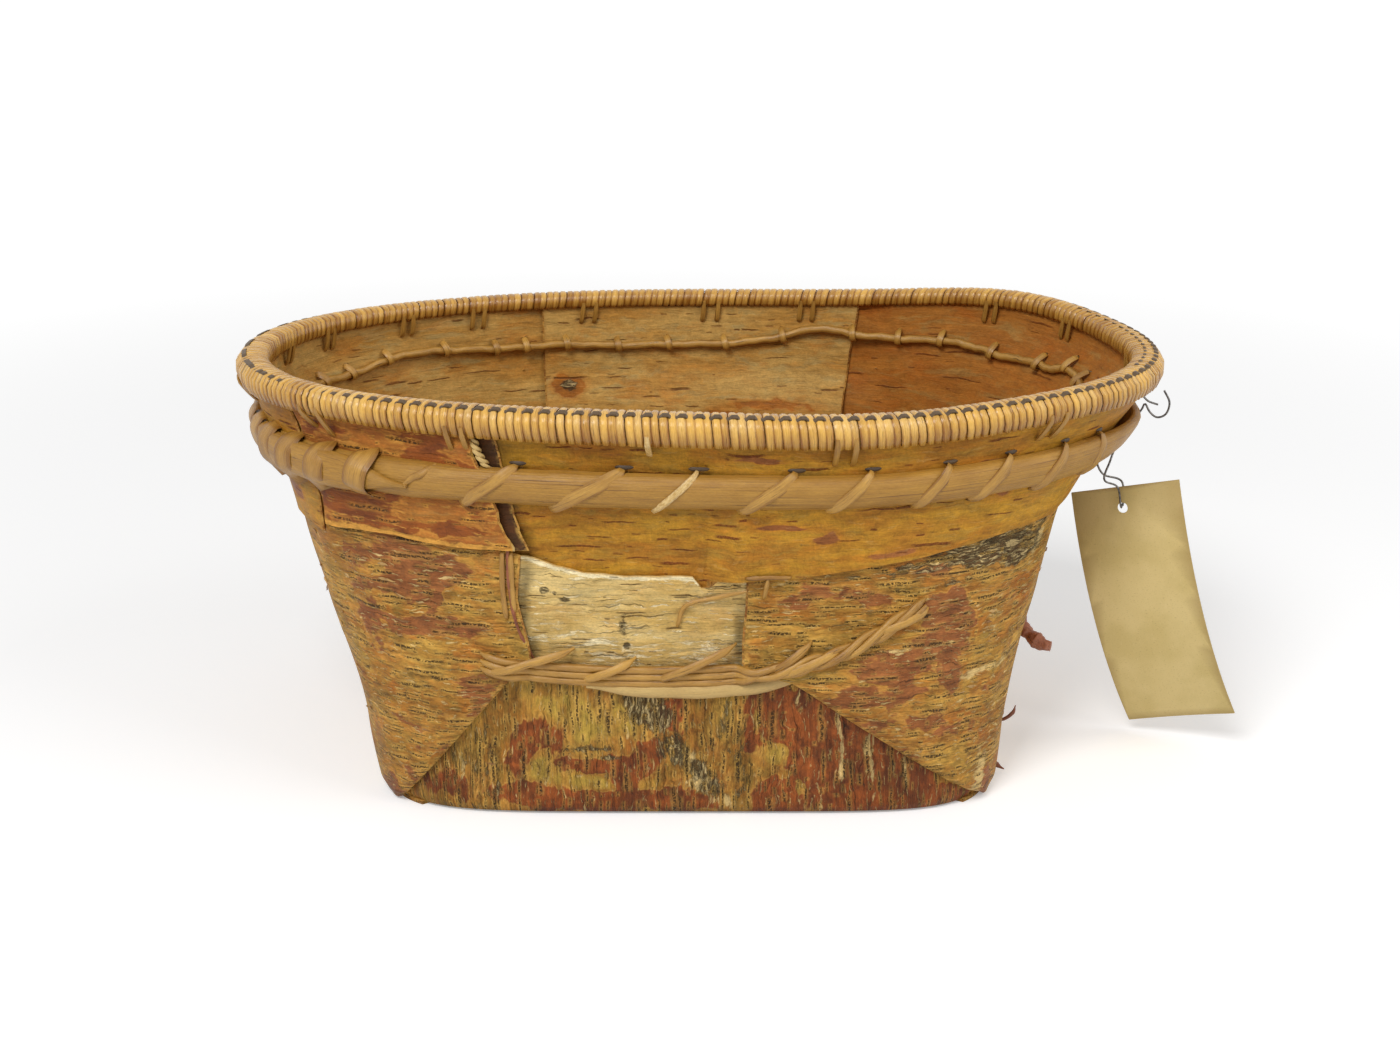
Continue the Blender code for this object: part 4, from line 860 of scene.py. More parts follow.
def addBody():
    crease = bodySettings
    wrapFoot = layer[4] + bark
    flapFoot = layer[2] + bark
    rightWall = {"grid": (150, 76), "offset": wrapOffset, "foot": wrapFoot, "seed": 3.0, "foldBelow": 0.056,
        "left": creaseLine(crease["creaseRight"], front)[:-1] + edgeOf(front, (0.034, 0.0535),
        (0.0155, 0.0600), (0.0155, 0.070), (0.0165, 0.082), (0.017, 0.100), (0.017, wallTop)),
        "right": creaseLine(crease["creaseRight"], back)[:-1] + edgeOf(back, (0.034, 0.0535), (0.045, 0.0605),
        (0.045, seamLow), (0.045, wallTop)), "curl": foldLip(crease["lip"], 0.0535),
        "rust": rightRust + backRust + endRust, "scar": rightScar + endScar, "pale": rightPale}
    addSheet("rightEndWall", rightWall, wrapBark, insideWarm, ("bark_body",))
    leftWall = {"grid": (150, 76), "offset": wrapOffset, "foot": wrapFoot, "seed": 5.0, "foldBelow": 0.056,
        "left": creaseLine(crease["creaseLeft"], backLeft)[:-1] + edgeOf(backLeft, (-0.068, 0.0545),
        (-0.045, 0.0605), (-0.045, seamLow), (-0.045, wallTop)),
        "right": creaseLine(crease["creaseLeft"], front)[:-1] + edgeOf(front, (-0.068, 0.0545),
        (-0.059, 0.0615), (-0.0604, 0.070), (-0.064, 0.085), (-0.0625, 0.1030), (-0.087, 0.1045),
        (-0.087, wallTop)), "curl": foldLip(crease["lip"], 0.0545), "rust": leftRust + backRust + endRust,
        "scar": endScar, "shade": leftPaintedShade}
    addSheet("leftEndWall", leftWall, wrapBark, insideBark, ("bark_body",))
    for name, place in (("frontFlap", front), ("backFlap", back)):
        flap = {"grid": (110, 30), "offset": flatOffset(layer[2]), "foot": flapFoot, "turned": True,
            "seed": 8.0, "high": crease["flapTop"],
            "left": [place(crease["flapLeft"], h) for h in (0.0, 0.027, 0.054)],
            "right": [place(crease["flapRight"], h) for h in (0.0, 0.027, 0.054)]}
        if place is back:
            flap["left"], flap["right"] = flap["right"], flap["left"]
            flap["rust"], flap["scar"] = backRust, spotsOn("back", [(0.03, 0.03, 0.012, 0.016, 0.9)])
        else:
            flap["rust"], flap["scar"], flap["pale"], flap["shade"] = flapRust, flapScar, flapPale, flapShadowAndDark
            flap["yellow"] = flapYellow
        addSheet(name, flap, flapBark, insideBark, ("bark_body",))
        for label, line, hinge in (("Left", crease["creaseLeft"], crease["flapLeft"]),
                ("Right", crease["creaseRight"], crease["flapRight"])):
            inboard = crease["pleatInset"] * (1 if label == "Left" else -1)
            leafTop = crease["pleatTop"]
            hinged = [place(hinge - inboard * 0.8, h) for h in (0.0, 0.024, leafTop)]
            folded = creaseLine(line, place, -inboard, leafTop)
            sides = [hinged, folded] if (label == "Left") == (place is front) else [folded, hinged]
            leaf = {"grid": (16, 14), "offset": flatOffset(layer[3]), "foot": layer[3] + bark,
                "low": crease["pleatLow"], "high": leafTop, "left": sides[0], "right": sides[1],
                "turned": True, "seed": 9.0}
            addSheet(name + label + "Pleat", leaf, flapBark, insideBark, ("bark_body",))
    bm = bmesh.new()
    bmesh.ops.create_circle(bm, cap_ends=True, segments=240, radius=1.0)
    bmesh.ops.inset_region(bm, faces=bm.faces[:], thickness=0.3)
    bmesh.ops.recalc_face_normals(bm, faces=bm.faces)
    grown = bmesh.ops.extrude_face_region(bm, geom=bm.faces[:])
    bmesh.ops.translate(bm, verts=[g for g in grown["geom"] if isinstance(g, bmesh.types.BMVert)],
        vec=(0, 0, 1))
    flat = pointArray(bm)
    turn = np.mod(np.arctan2(flat[:, 0], -flat[:, 1]) / (2 * pi) * stations, stations)
    found = surface(turn, np.zeros(len(turn)))
    onFlap = (found[:, 0] > -0.099) & (found[:, 0] < 0.093)
    offset = np.where(onFlap, layer[2], layer[4]) + bark - wallShape["footRadius"]
    offset = offset + sheetSettings["floorReach"]
    edge = wallPoints(turn, 0.0, offset - ripple(turn, 0.0))
    share = np.hypot(flat[:, 0], flat[:, 1])[:, None]
    level = flat[:, 2] * sheetSettings["floorThick"] + sheetSettings["floorLift"]
    places = np.concatenate((edge[:, :2] * share, level[:, None]), axis=1)
    setPoints(bm, places)
    lay = np.stack((places[:, 1], places[:, 0], places[:, 2]), axis=1)
    zero = np.zeros(len(places))
    values = {kind: zero for kind in ("rust", "pale", "scar", "shade", "yellow")}
    values.update(lay=lay, edge=zero + 9)
    for face in bm.faces:
        if face.calc_center_median().z > 0.001:
            face.material_index = 1
    makePiece("barkFloor", bm, [flapBark, insideBark], values, "basket", ("bark_body",))
    print("body sheets ready")


addBody()

panelSettings = {"curlRise": 0.0026, "curlShare": 0.14, "footRise": 0.0006, "footShare": 0.07}
panelEdge = [(-0.086, 0.048), (-0.0015, 0.048), (0.0, 0.0915), (0.017, 0.0930), (0.034, 0.0940),
    (0.052, 0.0960), (0.069, 0.0985), (0.088, 0.1015), (0.106, 0.1040)]


def addPanels():
    edgeLow = [front(x, h) for x, h in panelEdge] + [(0.9 * quarter, 0.1075), (1.3 * quarter, 0.107),
        back(0.094, 0.104)]
    panelRust = spotsOn("front", [(0.018, 0.1385, 0.010, 0.0016, 0.9), (0.100, 0.133, 0.006, 0.0016, 0.8),
        (0.030, 0.113, 0.012, 0.0012, 0.9), (0.045, 0.108, 0.005, 0.003, 0.7),
        (-0.030, 0.1385, 0.010, 0.0012, 0.7), (0.106, 0.120, 0.003, 0.002, 0.8),
        (0.066, 0.102, 0.012, 0.002, 0.5)])
    frontPanel = {"grid": (170, 52), "offset": frontPanelOffset, "low": edgeLow, "high": wallTop,
        "seed": 11.0, "left": [front(-0.086, h) for h in (0.048, 0.1, wallTop)],
        "right": [back(0.094, h) for h in (0.1, wallTop)], "ragged": (0, 0, 0.0003, 0), "rust": panelRust,
        # painted shadow on the front panel beside the free edge of the left front panel
        "shade": spotsOn("front", [(-0.0705, 0.139, 0.0050, 0.012, 0.9), (-0.066, 0.118, 0.0042, 0.016, 0.9),
        (-0.062, 0.106, 0.004, 0.006, 0.9)])}
    addSheet("frontPanel", frontPanel, panelBark, insideBark, ("front_panel",))
    backPanel = {"grid": (90, 44), "offset": centreOffset, "low": 0.048, "high": wallTop, "seed": 13.0,
        "left": edgeOf(back, (0.062, 0.048), (0.068, wallTop)),
        "right": edgeOf(back, (-0.0705, 0.048), (-0.0700, 0.0600), (-0.0655, 0.0640), (-0.068, wallTop)),
        "rust": backRust,
        "inner": {"rust": spotsOn("end",
        [(26.37, 0.1127, 0.007, 0.005, 1.1), (22.6, 0.104, 0.020, 0.0025, 0.9),
        (23.4, 0.100, 0.014, 0.0020, 0.8)]), "scar": spotsOn("end", [(26.37, 0.1127, 0.0040, 0.0035, 1.0)]),
        "shade": spotsOn("end", [(26.37, 0.1112, 0.0050, 0.0020, 0.5)])}}
    addSheet("backPanel", backPanel, panelBark, insideBark, ("back_panel",))

    def patchCurl(u, v, station, height):
        return 0.0008 * np.exp(-((1 - v) / 0.10) ** 2) * (0.5 + 0.5 * wobble(station, 4.0, 1.3))

    def patchFringe(u, v, station, height):
        # the pale band along the top edge, on the left half, is pale torn bark and a painted highlight where
        # the edge catches the light
        tornEdgeAndHighlight = 1.1 * np.exp(-((1 - v) / 0.030) ** 2) * (station < 0)
        return tornEdgeAndHighlight + 0.9 * np.exp(-((v - 0.42) / 0.25) ** 2) * 0.45

    patch = {"grid": (84, 40), "offset": flatOffset(layer[1]), "low": 0.046, "seed": 17.0,
        "high": edgeOf(front, (-0.075, 0.1005), (-0.060, 0.1005), (-0.050, 0.0975), (-0.040, 0.0952),
        (-0.020, 0.0942), (-0.002, 0.0935), (0.0, 0.0895), (0.004, 0.0900), (0.007, 0.0928), (0.030, 0.0928)),
        "left": [front(-0.075, h) for h in (0.046, 0.1)], "right": [front(0.030, h) for h in (0.046, 0.09)],
        "ragged": (0, 0, 0, 0.0005), "curl": patchCurl, "fringe": patchFringe,
        "scar": spotsOn("front",
        [(-0.0545, 0.0880, 0.0020, 0.0018, 0.9), (-0.0510, 0.0875, 0.0014, 0.0014, 0.8),
        (-0.0475, 0.0855, 0.0030, 0.0016, 0.7), (-0.0270, 0.0745, 0.0016, 0.0060, 0.5),
        (-0.0260, 0.0680, 0.0016, 0.0040, 0.6)]),
        # painted shadow along the patch's left border under the edge of the wrap, and a dark vertical streak
        # on its right part
        "shade": spotsOn("front",
        [(-0.0615, 0.085, 0.0024, 0.020, 0.85), (-0.0590, 0.066, 0.0026, 0.006, 0.8),
        (0.0140, 0.074, 0.0020, 0.012, 0.9)])}
    addSheet("frontPatch", patch, patchBark, insideBark, ("front_patch",))

    def freeEdge(u, v, station, height):
        # the free right edge stands away from the panel behind it
        p = panelSettings
        near = np.exp(-((1 - u) / p["curlShare"]) ** 2)
        rise = p["curlRise"] * near * soft(height, 0.100, 0.116) * (1 - soft(height, 0.140, 0.150))
        return rise + p["footRise"] * np.exp(-(v / p["footShare"]) ** 2)

    # a thin dark sheet in the slot beside the free edge of the left front panel: painted shadow in the slot,
    # together with the dark bark seen there
    slip = {"grid": (8, 30), "offset": flatOffset(layer[2] + bark + 0.0002), "thick": 0.0005, "seed": 29.0,
        "low": 0.1035, "high": 0.1445,
        "left": edgeOf(front, (-0.072, 0.1035), (-0.079, 0.125), (-0.082, 0.1445)),
        "right": edgeOf(front, (-0.0596, 0.1035), (-0.0634, 0.1144), (-0.0656, 0.125), (-0.0682, 0.135),
        (-0.0702, 0.1445)), "ragged": (0, 0.0003, 0, 0)}
    addSheet("slotShadowSlip", slip, slotShadowBark, slotShadowBark, ())
    leftFront = {"grid": (70, 46), "offset": coverOffset, "seed": 19.0, "curl": freeEdge,
        "low": edgeOf(front, (-0.137, 0.1035), (-0.120, 0.1050), (-0.105, 0.1052), (-0.086, 0.1037),
        (-0.0635, 0.1035)), "high": wallTop, "left": edgeOf(front, (-0.131, 0.096), (-0.1325, 0.1135),
        (-0.1375, 0.124), (-0.1415, 0.138), (-0.1455, 0.146), (-0.150, wallTop)),
        "right": edgeOf(front, (-0.0636, 0.1044), (-0.0685, 0.1144), (-0.0717, 0.125), (-0.078, 0.1438),
        (-0.0785, wallTop)), "ragged": (0.0003, 0.0003, 0.0004, 0),
        "rust": spotsOn("front", [(-0.122, 0.112, 0.016, 0.010, 0.45), (-0.095, 0.138, 0.010, 0.006, 0.4),
        (-0.100, 0.110, 0.022, 0.003, 0.35)]), "fringe": lambda u, v, s, h: 0.9 * np.exp(-(v / 0.05) ** 2)}
    addSheet("leftFrontPanel", leftFront, redBark, insideBark, ("left_front_panel",))
    leftEnd = {"grid": (90, 44), "offset": coverOffset, "seed": 23.0,
        "low": [backLeft(-0.094, 0.102), (-1.15 * quarter, 0.1025), front(-0.150, 0.1015),
        front(-0.137, 0.101)], "high": wallTop, "left": [backLeft(-0.094, h) for h in (0.1, wallTop)],
        "right": edgeOf(front, (-0.1330, 0.096), (-0.1345, 0.1135), (-0.1395, 0.124), (-0.1435, 0.138),
        (-0.1475, 0.146), (-0.152, wallTop)), "ragged": (0, 0.0002, 0.0006, 0),
        "rust": spotsOn("front", [(-0.146, 0.112, 0.006, 0.006, 0.9), (-0.155, 0.120, 0.006, 0.006, 0.5)])}
    addSheet("leftEndPanel", leftEnd, panelBark, insideBark, ("left_end_panel",))
    print("panels ready")


addPanels()


# Strands: a rolled template is copied, and each copy is laid along its own path

def ringTemplate(steps, sides):
    bm = bmesh.new()
    place = Matrix.Translation((1.0, 0.0, 0.0)) @ Matrix.Rotation(0.5 * pi, 4, "X")
    bmesh.ops.create_circle(bm, cap_ends=False, segments=sides, radius=0.3, matrix=place)
    bmesh.ops.spin(bm, geom=bm.verts[:] + bm.edges[:], cent=(0, 0, 0), axis=(0, 0, 1), angle=2 * pi,
        steps=steps, use_merge=True, use_duplicate=False)
    bmesh.ops.remove_doubles(bm, verts=bm.verts, dist=1e-5)
    return bm


def strandTemplate(steps, sides):
    bm = bmesh.new()
    bmesh.ops.create_cone(bm, cap_ends=True, segments=sides, radius1=1.0, radius2=1.0, depth=1.0)
    long = [e for e in bm.edges if abs(e.verts[0].co.z - e.verts[1].co.z) > 0.5]
    bmesh.ops.subdivide_edges(bm, edges=long, cuts=steps - 1, use_grid_fill=True)
    return bm


def copies(template, count):
    mesh = bpy.data.meshes.new("template")
    template.to_mesh(mesh)
    template.free()
    bm = bmesh.new()
    for n in range(count):
        bm.from_mesh(mesh)
    bpy.data.meshes.remove(mesh)
    bm.verts.index_update()
    return bm


def ringPlaces(bm, steps, sides):
    flat = pointArray(bm)
    around = np.mod(np.round(np.arctan2(flat[:, 1], flat[:, 0]) / (2 * pi) * steps), steps).astype(int)
    reach = np.hypot(flat[:, 0], flat[:, 1]) - 1.0
    turn = np.arctan2(flat[:, 2], reach)
    return around, turn


def unit(vectors):
    return vectors / np.maximum(np.linalg.norm(vectors, axis=-1, keepdims=True), 1e-12)


def resample(path, count):
    path = arr(path)
    length = np.concatenate(([0], np.cumsum(np.linalg.norm(np.diff(path, axis=0), axis=1))))
    at = np.linspace(0, length[-1], count)
    return np.stack([np.interp(at, length, path[:, n]) for n in range(3)], axis=1), length[-1]


def smoothPath(points, count):
    # a Catmull-Rom curve through the points, evenly spaced
    p = arr(points)
    p = np.concatenate(([2 * p[0] - p[1]], p, [2 * p[-1] - p[-2]]))
    fine = []
    for i in range(1, len(p) - 2):
        t = np.linspace(0, 1, 12, endpoint=False)[:, None]
        a, b, c, d = p[i - 1], p[i], p[i + 1], p[i + 2]
        fine.append(0.5 * (2 * b + (c - a) * t + (2 * a - 5 * b + 4 * c - d) * t ** 2
            + (3 * b - a - 3 * c + d) * t ** 3))
    fine.append(p[-2][None])
    return resample(np.concatenate(fine), count)


def outwardAt(points):
    # a rough outward direction for points near the wall
    points = arr(points)
    return unit(np.stack((points[:, 0] / 0.17 ** 2, points[:, 1] / 0.11 ** 2, np.zeros(len(points))), axis=1))


def addStrands(name, paths, shape, material, nodes, rng, steps=24, sides=8):
    # shape: width and thick in metres, taper as the share left at the ends, twist in turns, lump as a share
    bm = copies(strandTemplate(steps, sides), len(paths))
    flat = pointArray(bm)
    per = len(flat) // len(paths)
    places, lays, tones = [], [], []
    for n, path in enumerate(paths):
        part = flat[n * per:(n + 1) * per]
        line, length = smoothPath(path, steps + 1)
        normal = outwardAt(line)
        along = unit(np.gradient(line, axis=0))
        side = unit(np.cross(along, normal))
        normal = np.cross(side, along)
        step = np.clip(np.round((part[:, 2] + 0.5) * steps), 0, steps).astype(int)
        angle = np.arctan2(part[:, 1], part[:, 0])
        share = step / steps
        ends = np.minimum(share, 1 - share) * length
        taper = shape.get("taper", 1.0)
        size = taper + (1 - taper) * soft(ends, 0, shape.get("taperLength", 0.004))
        lump = 1 + shape.get("lump", 0.0) * wobble(step * length / steps, n + 1.3, 0.012)
        spin = 2 * pi * shape.get("twist", 0.0) * share
        wide = shape["width"] * shape.get("widths", [1.0] * len(paths))[n]
        a, b = 0.5 * wide * size * lump * np.cos(angle), 0.5 * shape["thick"] * size * lump * np.sin(angle)
        a, b = a * np.cos(spin) - b * np.sin(spin), a * np.sin(spin) + b * np.cos(spin)
        places.append(line[step] + side[step] * a[:, None] + normal[step] * b[:, None])
        lays.append(np.stack((share * length + n * 0.37, a + 0.013 * n, b), axis=1))
        tone = shape.get("tone", 0.5) + shape.get("toneSpread", 0.25) * (rng.random() - 0.5) * 2
        if "tones" in shape:
            tone = shape["tones"][n]
        # edgeShade darkens each strand along its two sides: painted shade where it lies on what is under it
        tones.append(tone - shape.get("edgeShade", 0.3) * np.abs(np.cos(angle)) ** 5)
    places = np.concatenate(places)
    setPoints(bm, places)
    worn = np.repeat([shape.get("worn", 0.0) if t < 0.95 else 0.55
        for t in shape.get("tones", [0.0] * len(paths))], per)
    values = {"lay": np.concatenate(lays), "tone": np.concatenate(tones), "worn": worn}
    return makePiece(name, bm, [material], values, "basket", nodes, 60.0)


def sweepRing(name, steps, sides, section, material, nodes):
    # a closed hoop: section(station, turn, length) gives offset and height
    bm = ringTemplate(steps, sides)
    around, turn = ringPlaces(bm, steps, sides)
    length = around / steps * rimTotal
    station = rimStation(length)
    offset, height = section(station, turn, length)
    places = rimPoints(station, offset, height)
    setPoints(bm, places)
    lay = np.stack((length, 0.004 * np.cos(turn), 0.004 * np.sin(turn)), axis=1)
    values = {"lay": lay, "tone": np.full(len(places), 0.5), "worn": np.zeros(len(places))}
    return makePiece(name, bm, [material], values, "basket", nodes, 60.0)


def boxed(low, high, bottom, top, turn, square=0.45):
    # an offset and a height on a rounded rectangle
    c, s = np.cos(turn), np.sin(turn)
    a = np.sign(c) * np.abs(c) ** square
    b = np.sign(s) * np.abs(s) ** square
    return 0.5 * (low + high) + 0.5 * (high - low) * a, 0.5 * (bottom + top) + 0.5 * (top - bottom) * b


rimSettings = {"pitch": 0.00285, "wrapWidth": 0.00284, "wrapThick": 0.00100, "slant": 0.0007,
    "hoopTop": 0.1522, "outerHigh": 0.0078, "outerThick": 0.0046, "innerHigh": 0.0052, "innerThick": 0.0024,
    "stripWidth": 0.0020, "stripThick": 0.0007, "backSlim": 0.30, "frontSlim": 0.10, "endSlant": 0.0016,
    "unevenPlace": 0.00022, "unevenSize": 0.02, "unevenWidth": 0.10, "anchorWidth": 0.0023,
    "anchorThick": 0.0011, "seed": 4}
innerFace = layer[2] - gap
outerFace = layer[3] + bark + gap
wrapLoop = arr([(0.0032, 0.1466), (0.0008, 0.1462), (-0.0004, 0.1474), (-0.0006, 0.1505), (0.0004, 0.1533),
    (0.0034, 0.1543), (0.0068, 0.1544), (0.0098, 0.1535), (0.0117, 0.1510), (0.0118, 0.1478),
    (0.0107, 0.1443), (0.0074, 0.1439)])
rimCentre = (0.0052, 0.1490)


def rimScale(station):
    # the rim is thinner round the back and a little thinner at the quarters of the front
    atBack = bump(station, 24.0, 9.5)
    atFront = np.maximum(bump(station, 6.5, 3.0), bump(station, -6.5, 3.0))
    return 1 - rimSettings["backSlim"] * np.clip(1.3 * atBack, 0, 1) - rimSettings["frontSlim"] * atFront


def rimPoints(station, offset, height):
    scale = rimScale(station)
    return wallPoints(station, rimCentre[1] + (arr(height) - rimCentre[1]) * scale,
        rimCentre[0] + (arr(offset) - rimCentre[0]) * scale)


def addRim():
    s = rimSettings
    top = s["hoopTop"]
    sweepRing("outerHoop", 360, 12, lambda st, t, g: boxed(outerFace, outerFace + s["outerThick"] - 0.0004,
        top - s["outerHigh"], top, t), battenWood, ("rim_outer_hoop",))
    sweepRing("innerHoop", 360, 12, lambda st, t, g: boxed(innerFace - s["innerThick"] + 0.0003, innerFace,
        top - s["innerHigh"], top, t), battenWood, ("rim_inner_hoop",))
    rng = np.random.default_rng(s["seed"])
    count = 2 * int(round(rimTotal / s["pitch"] / 2))
    pitch = rimTotal / count
    steps, sides = len(wrapLoop), 6
    bm = copies(ringTemplate(steps, sides), count)
    around, turn = ringPlaces(bm, steps, sides)
    which = np.arange(len(around)) // (steps * sides)
    shift, width, size = (rng.random((3, count)) - 0.5) * 2
    spare = rng.random(count)
    grow = 1 + s["unevenSize"] * size[which]
    atEnds = bump(rimStation(which * pitch), 36.0, 3.2) + 0.5 * bump(rimStation(which * pitch), 12.0, 3.2)
    lean = (s["slant"] + s["endSlant"] * atEnds) * np.cos(2 * pi * around / steps)
    station = rimStation(which * pitch + shift[which] * s["unevenPlace"] + lean)
    aside = rimStation(which * pitch + shift[which] * s["unevenPlace"] + lean + 0.001)

    def loopPoint(turned, where):
        part = wrapLoop[np.mod(turned, steps)]
        offset, height = (rimCentre[n] + (part[:, n] - rimCentre[n]) * grow for n in (0, 1))
        return rimPoints(where, offset, height)

    half = 0.5 * s["wrapWidth"] * (1 + s["unevenWidth"] * width[which])
    centre = loopPoint(around, station)
    along = unit(loopPoint(around + 1, station) - loopPoint(around - 1, station))
    side = unit(loopPoint(around, aside) - centre)
    normal = unit(np.cross(along, side))
    inside = rimPoints(station, rimCentre[0], rimCentre[1])
    normal = normal * np.sign(np.sum(normal * (centre - inside), axis=1))[:, None]
    flat = np.sign(np.cos(turn)) * np.abs(np.cos(turn)) ** 0.7
    places = centre + side * (half * np.sin(turn))[:, None] + normal * (0.5 * s["wrapThick"] * flat)[:, None]
    setPoints(bm, places)
    lay = np.stack((around * 0.0028 + which * 0.031, half * np.sin(turn) + which * 0.0071, flat * 0.0004),
        axis=1)
    # tone: random per wrap; darker at each wrap's sides, painted shade in the gaps between wraps; lighter on
    # the top outer shoulder, a painted highlight; darker low on the outer side, painted shade
    tone = 0.58 + 0.18 * shift[which] + 0.20 * (spare[which] - 0.5) - 0.55 * np.abs(np.sin(turn)) ** 4
    tone = tone + 0.25 * np.cos(2 * pi * (around - 7.2) / steps) - 0.30 * np.exp(-((around - 9.6) / 1.0) ** 2)
    worn = np.clip(0.5 * np.cos(2 * pi * (around - 7) / steps) - 0.25, 0, 1) * (spare[which] > 0.8)
    makePiece("rimWrapping", bm, [wrapRoot], {"lay": lay, "tone": tone, "worn": worn}, "basket",
        ("rim_wrapping",), 80.0)

    # the flecks are hidden round the back and at one place of the left front
    hiddenFlecks = np.mod(stationAt(-0.137, 0.149), stations)

    def strip(middle, level, width, where):
        def section(station, turn, length):
            over = np.clip(2.6 * np.cos(pi * length / pitch), -1, 1)
            longer = bump(station, 36.5, 3.0)
            over = np.where(longer > 0.4, np.clip(2 * np.cos(pi * length / (3 * pitch)) + 0.8, -1, 1), over)
            rise = 0.00046 * over - 0.00016 - 0.0014 * (1 - where(station))
            off, high = boxed(middle - 0.5 * width, middle + 0.5 * width, level - 0.5 * s["stripThick"],
                level + 0.5 * s["stripThick"], turn, 0.7)
            return off, high + rise - 0.30 * (off - middle)
        return section

    def notBack(station):
        hidden = 1.6 * bump(station, 24.0, 8.0) + 1.3 * bump(station, hiddenFlecks, 0.9)
        return 1 - 0.75 * np.clip(hidden, 0, 1)

    sweepRing("topStrip", 6 * count, 6, strip(0.0089, 0.1544, s["stripWidth"], notBack), darkStrip,
        ("rim_top_strip",))
    sweepRing("secondStrip", 6 * count, 6,
        strip(0.0046, 0.1545, 0.0015, lambda st: (bump(st, 12.3, 3.4) > 0.4).astype(float)), darkStrip,
        ())
    # anchor stitches, in pairs, that run down from the wraps into the bark
    outer = [(-0.1640, 0.1430), (-0.1348, 0.1440), (-0.1280, 0.1420), (-0.0834, 0.1420), (-0.0780, 0.1420),
        (-0.0167, 0.1442), (0.0454, 0.1418), (0.0516, 0.1416), (0.1180, 0.1425), (0.1235, 0.1425)]
    anchors = []
    for x, low in outer:
        anchors.append((stationAt(x, low), low, 0.14 if x < -0.1 else 0.03))
    for at in (13.2, 13.6, 17.0, 17.4, 21.2, 25.5, 25.9, 30.0, 30.4, 34.0, 34.4):
        anchors.append((at, 0.1425, 0.03))
    paths, tones = [], []
    for at, low, lean in anchors:
        upper = rimPoints([at - lean, at - 0.7 * lean], [0.0122, 0.0116], [0.1480, 0.1446])
        lower = wallPoints([at, at], [low - 0.0040, low - 0.0055], [outerFace + 0.0004, outerFace - 0.003])
        paths.append(np.concatenate((upper, lower)))
        tones.append(1.0 if abs(low - 0.1442) < 1e-6 else 0.45)
    for at in (34.35, 32.4, 30.0, 28.33, 26.05, 23.8, 22.0, 18.0, 15.7, 12.0, 6.0, 1.5, -4.0, -9.0):
        for d in (-0.12, 0.13):
            upper = rimPoints([at + d, at + d], [-0.0009, -0.0007], [0.1490, 0.1468])
            lower = wallPoints([at + d + 0.03, at + d + 0.04], [0.1408, 0.1392],
                [innerFace - 0.0006, innerFace + 0.002])
            paths.append(np.concatenate((upper, lower)))
            tones.append(0.5)
    addStrands("rimAnchors", paths, {"width": s["anchorWidth"], "thick": s["anchorThick"], "tones": tones,
        "taper": 0.7}, lashRoot, (), rng, steps=10, sides=6)
    print("rim ready with %d wraps" % count)


addRim()

battenSettings = {"low": 0.1207, "top": 0.1333, "thick": 0.0050, "lapStart": -0.150, "lapEnd": -0.0975,
    "bandWidth": 0.0046, "lapBandWidth": 0.0098, "bandThick": 0.0009, "rootRadius": 0.0013}
battenMiddle = 0.5 * (battenSettings["low"] + battenSettings["top"])
lapFrom = stationAt(battenSettings["lapStart"], battenSettings["top"])
lapTo = stationAt(battenSettings["lapEnd"], battenSettings["top"])


def standoff(station):
    return 0.003 * bump(station, 0.86 * quarter, 0.15 * quarter)


def battenSpan(station):
    # inner face, thickness and share of full width of the batten at a place on its way round
    station = arr(station)
    into = np.clip((station - lapFrom) / (lapTo - lapFrom), 0, 1)
    fromEnd = (station - lapFrom - stations) / (lapTo - lapFrom)
    base = outerFace + standoff(station)
    full = battenSettings["thick"]
    thick = 0.0010 + (full - 0.0010) * into
    share = np.clip(fromEnd, 0, 1)
    under = (0.0010 + (full - 0.0010) * share + gap) * np.clip((fromEnd + 0.25) / 0.25, 0, 1)
    onTop = station > lapFrom + 0.5 * stations
    thick = np.where(onTop, full - (full - 0.0016) * share ** 2, thick)
    base = np.where(onTop, base + under, base)
    toTip = lapTo + stations - station
    point = np.where(onTop, 0.12 + 0.88 * soft(toTip, 0.0, 1.5), 1.0)
    return base, thick, point


def outerBatten(station):
    # the outermost batten face at a station of the front turn
    station = arr(station)
    wrapped = np.mod(station - lapFrom, stations) + lapFrom
    base, thick = battenSpan(wrapped)[:2]
    overBase, overThick = battenSpan(wrapped + stations)[:2]
    return np.where(wrapped < lapTo, overBase + overThick, base + thick)


def addBatten():
    steps, sides = 560, 16
    bm = strandTemplate(steps, sides)
    flat = pointArray(bm)
    step = np.clip(np.round((flat[:, 2] + 0.5) * steps), 0, steps)
    angle = np.arctan2(flat[:, 1], flat[:, 0])
    station = lapFrom + (stations + lapTo - lapFrom) * step / steps
    base, thick, point = battenSpan(station)
    half = 0.5 * (battenSettings["top"] - battenSettings["low"])
    belly = np.maximum(np.sin(angle), 0) ** 0.75 - 0.04 * (np.sin(angle) < 0)
    across = np.sign(np.cos(angle)) * np.abs(np.cos(angle)) ** 0.85
    dip = -0.0016 * (1 - point)
    knots = 1 + 0.035 * wobble(station, 3.0, 3.1)
    places = wallPoints(station, battenMiddle + dip + half * across * point * knots,
        base + thick * belly * knots)
    setPoints(bm, places)
    lay = np.stack((girth(station), half * across, thick * belly), axis=1)
    tone = 0.5 + 0.12 * wobble(station, 1.0, 6.0)
    makePiece("outerBatten", bm, [battenWood], {"lay": lay, "tone": tone, "worn": np.zeros(len(lay))},
        "basket", ("outer_batten",), 60.0)


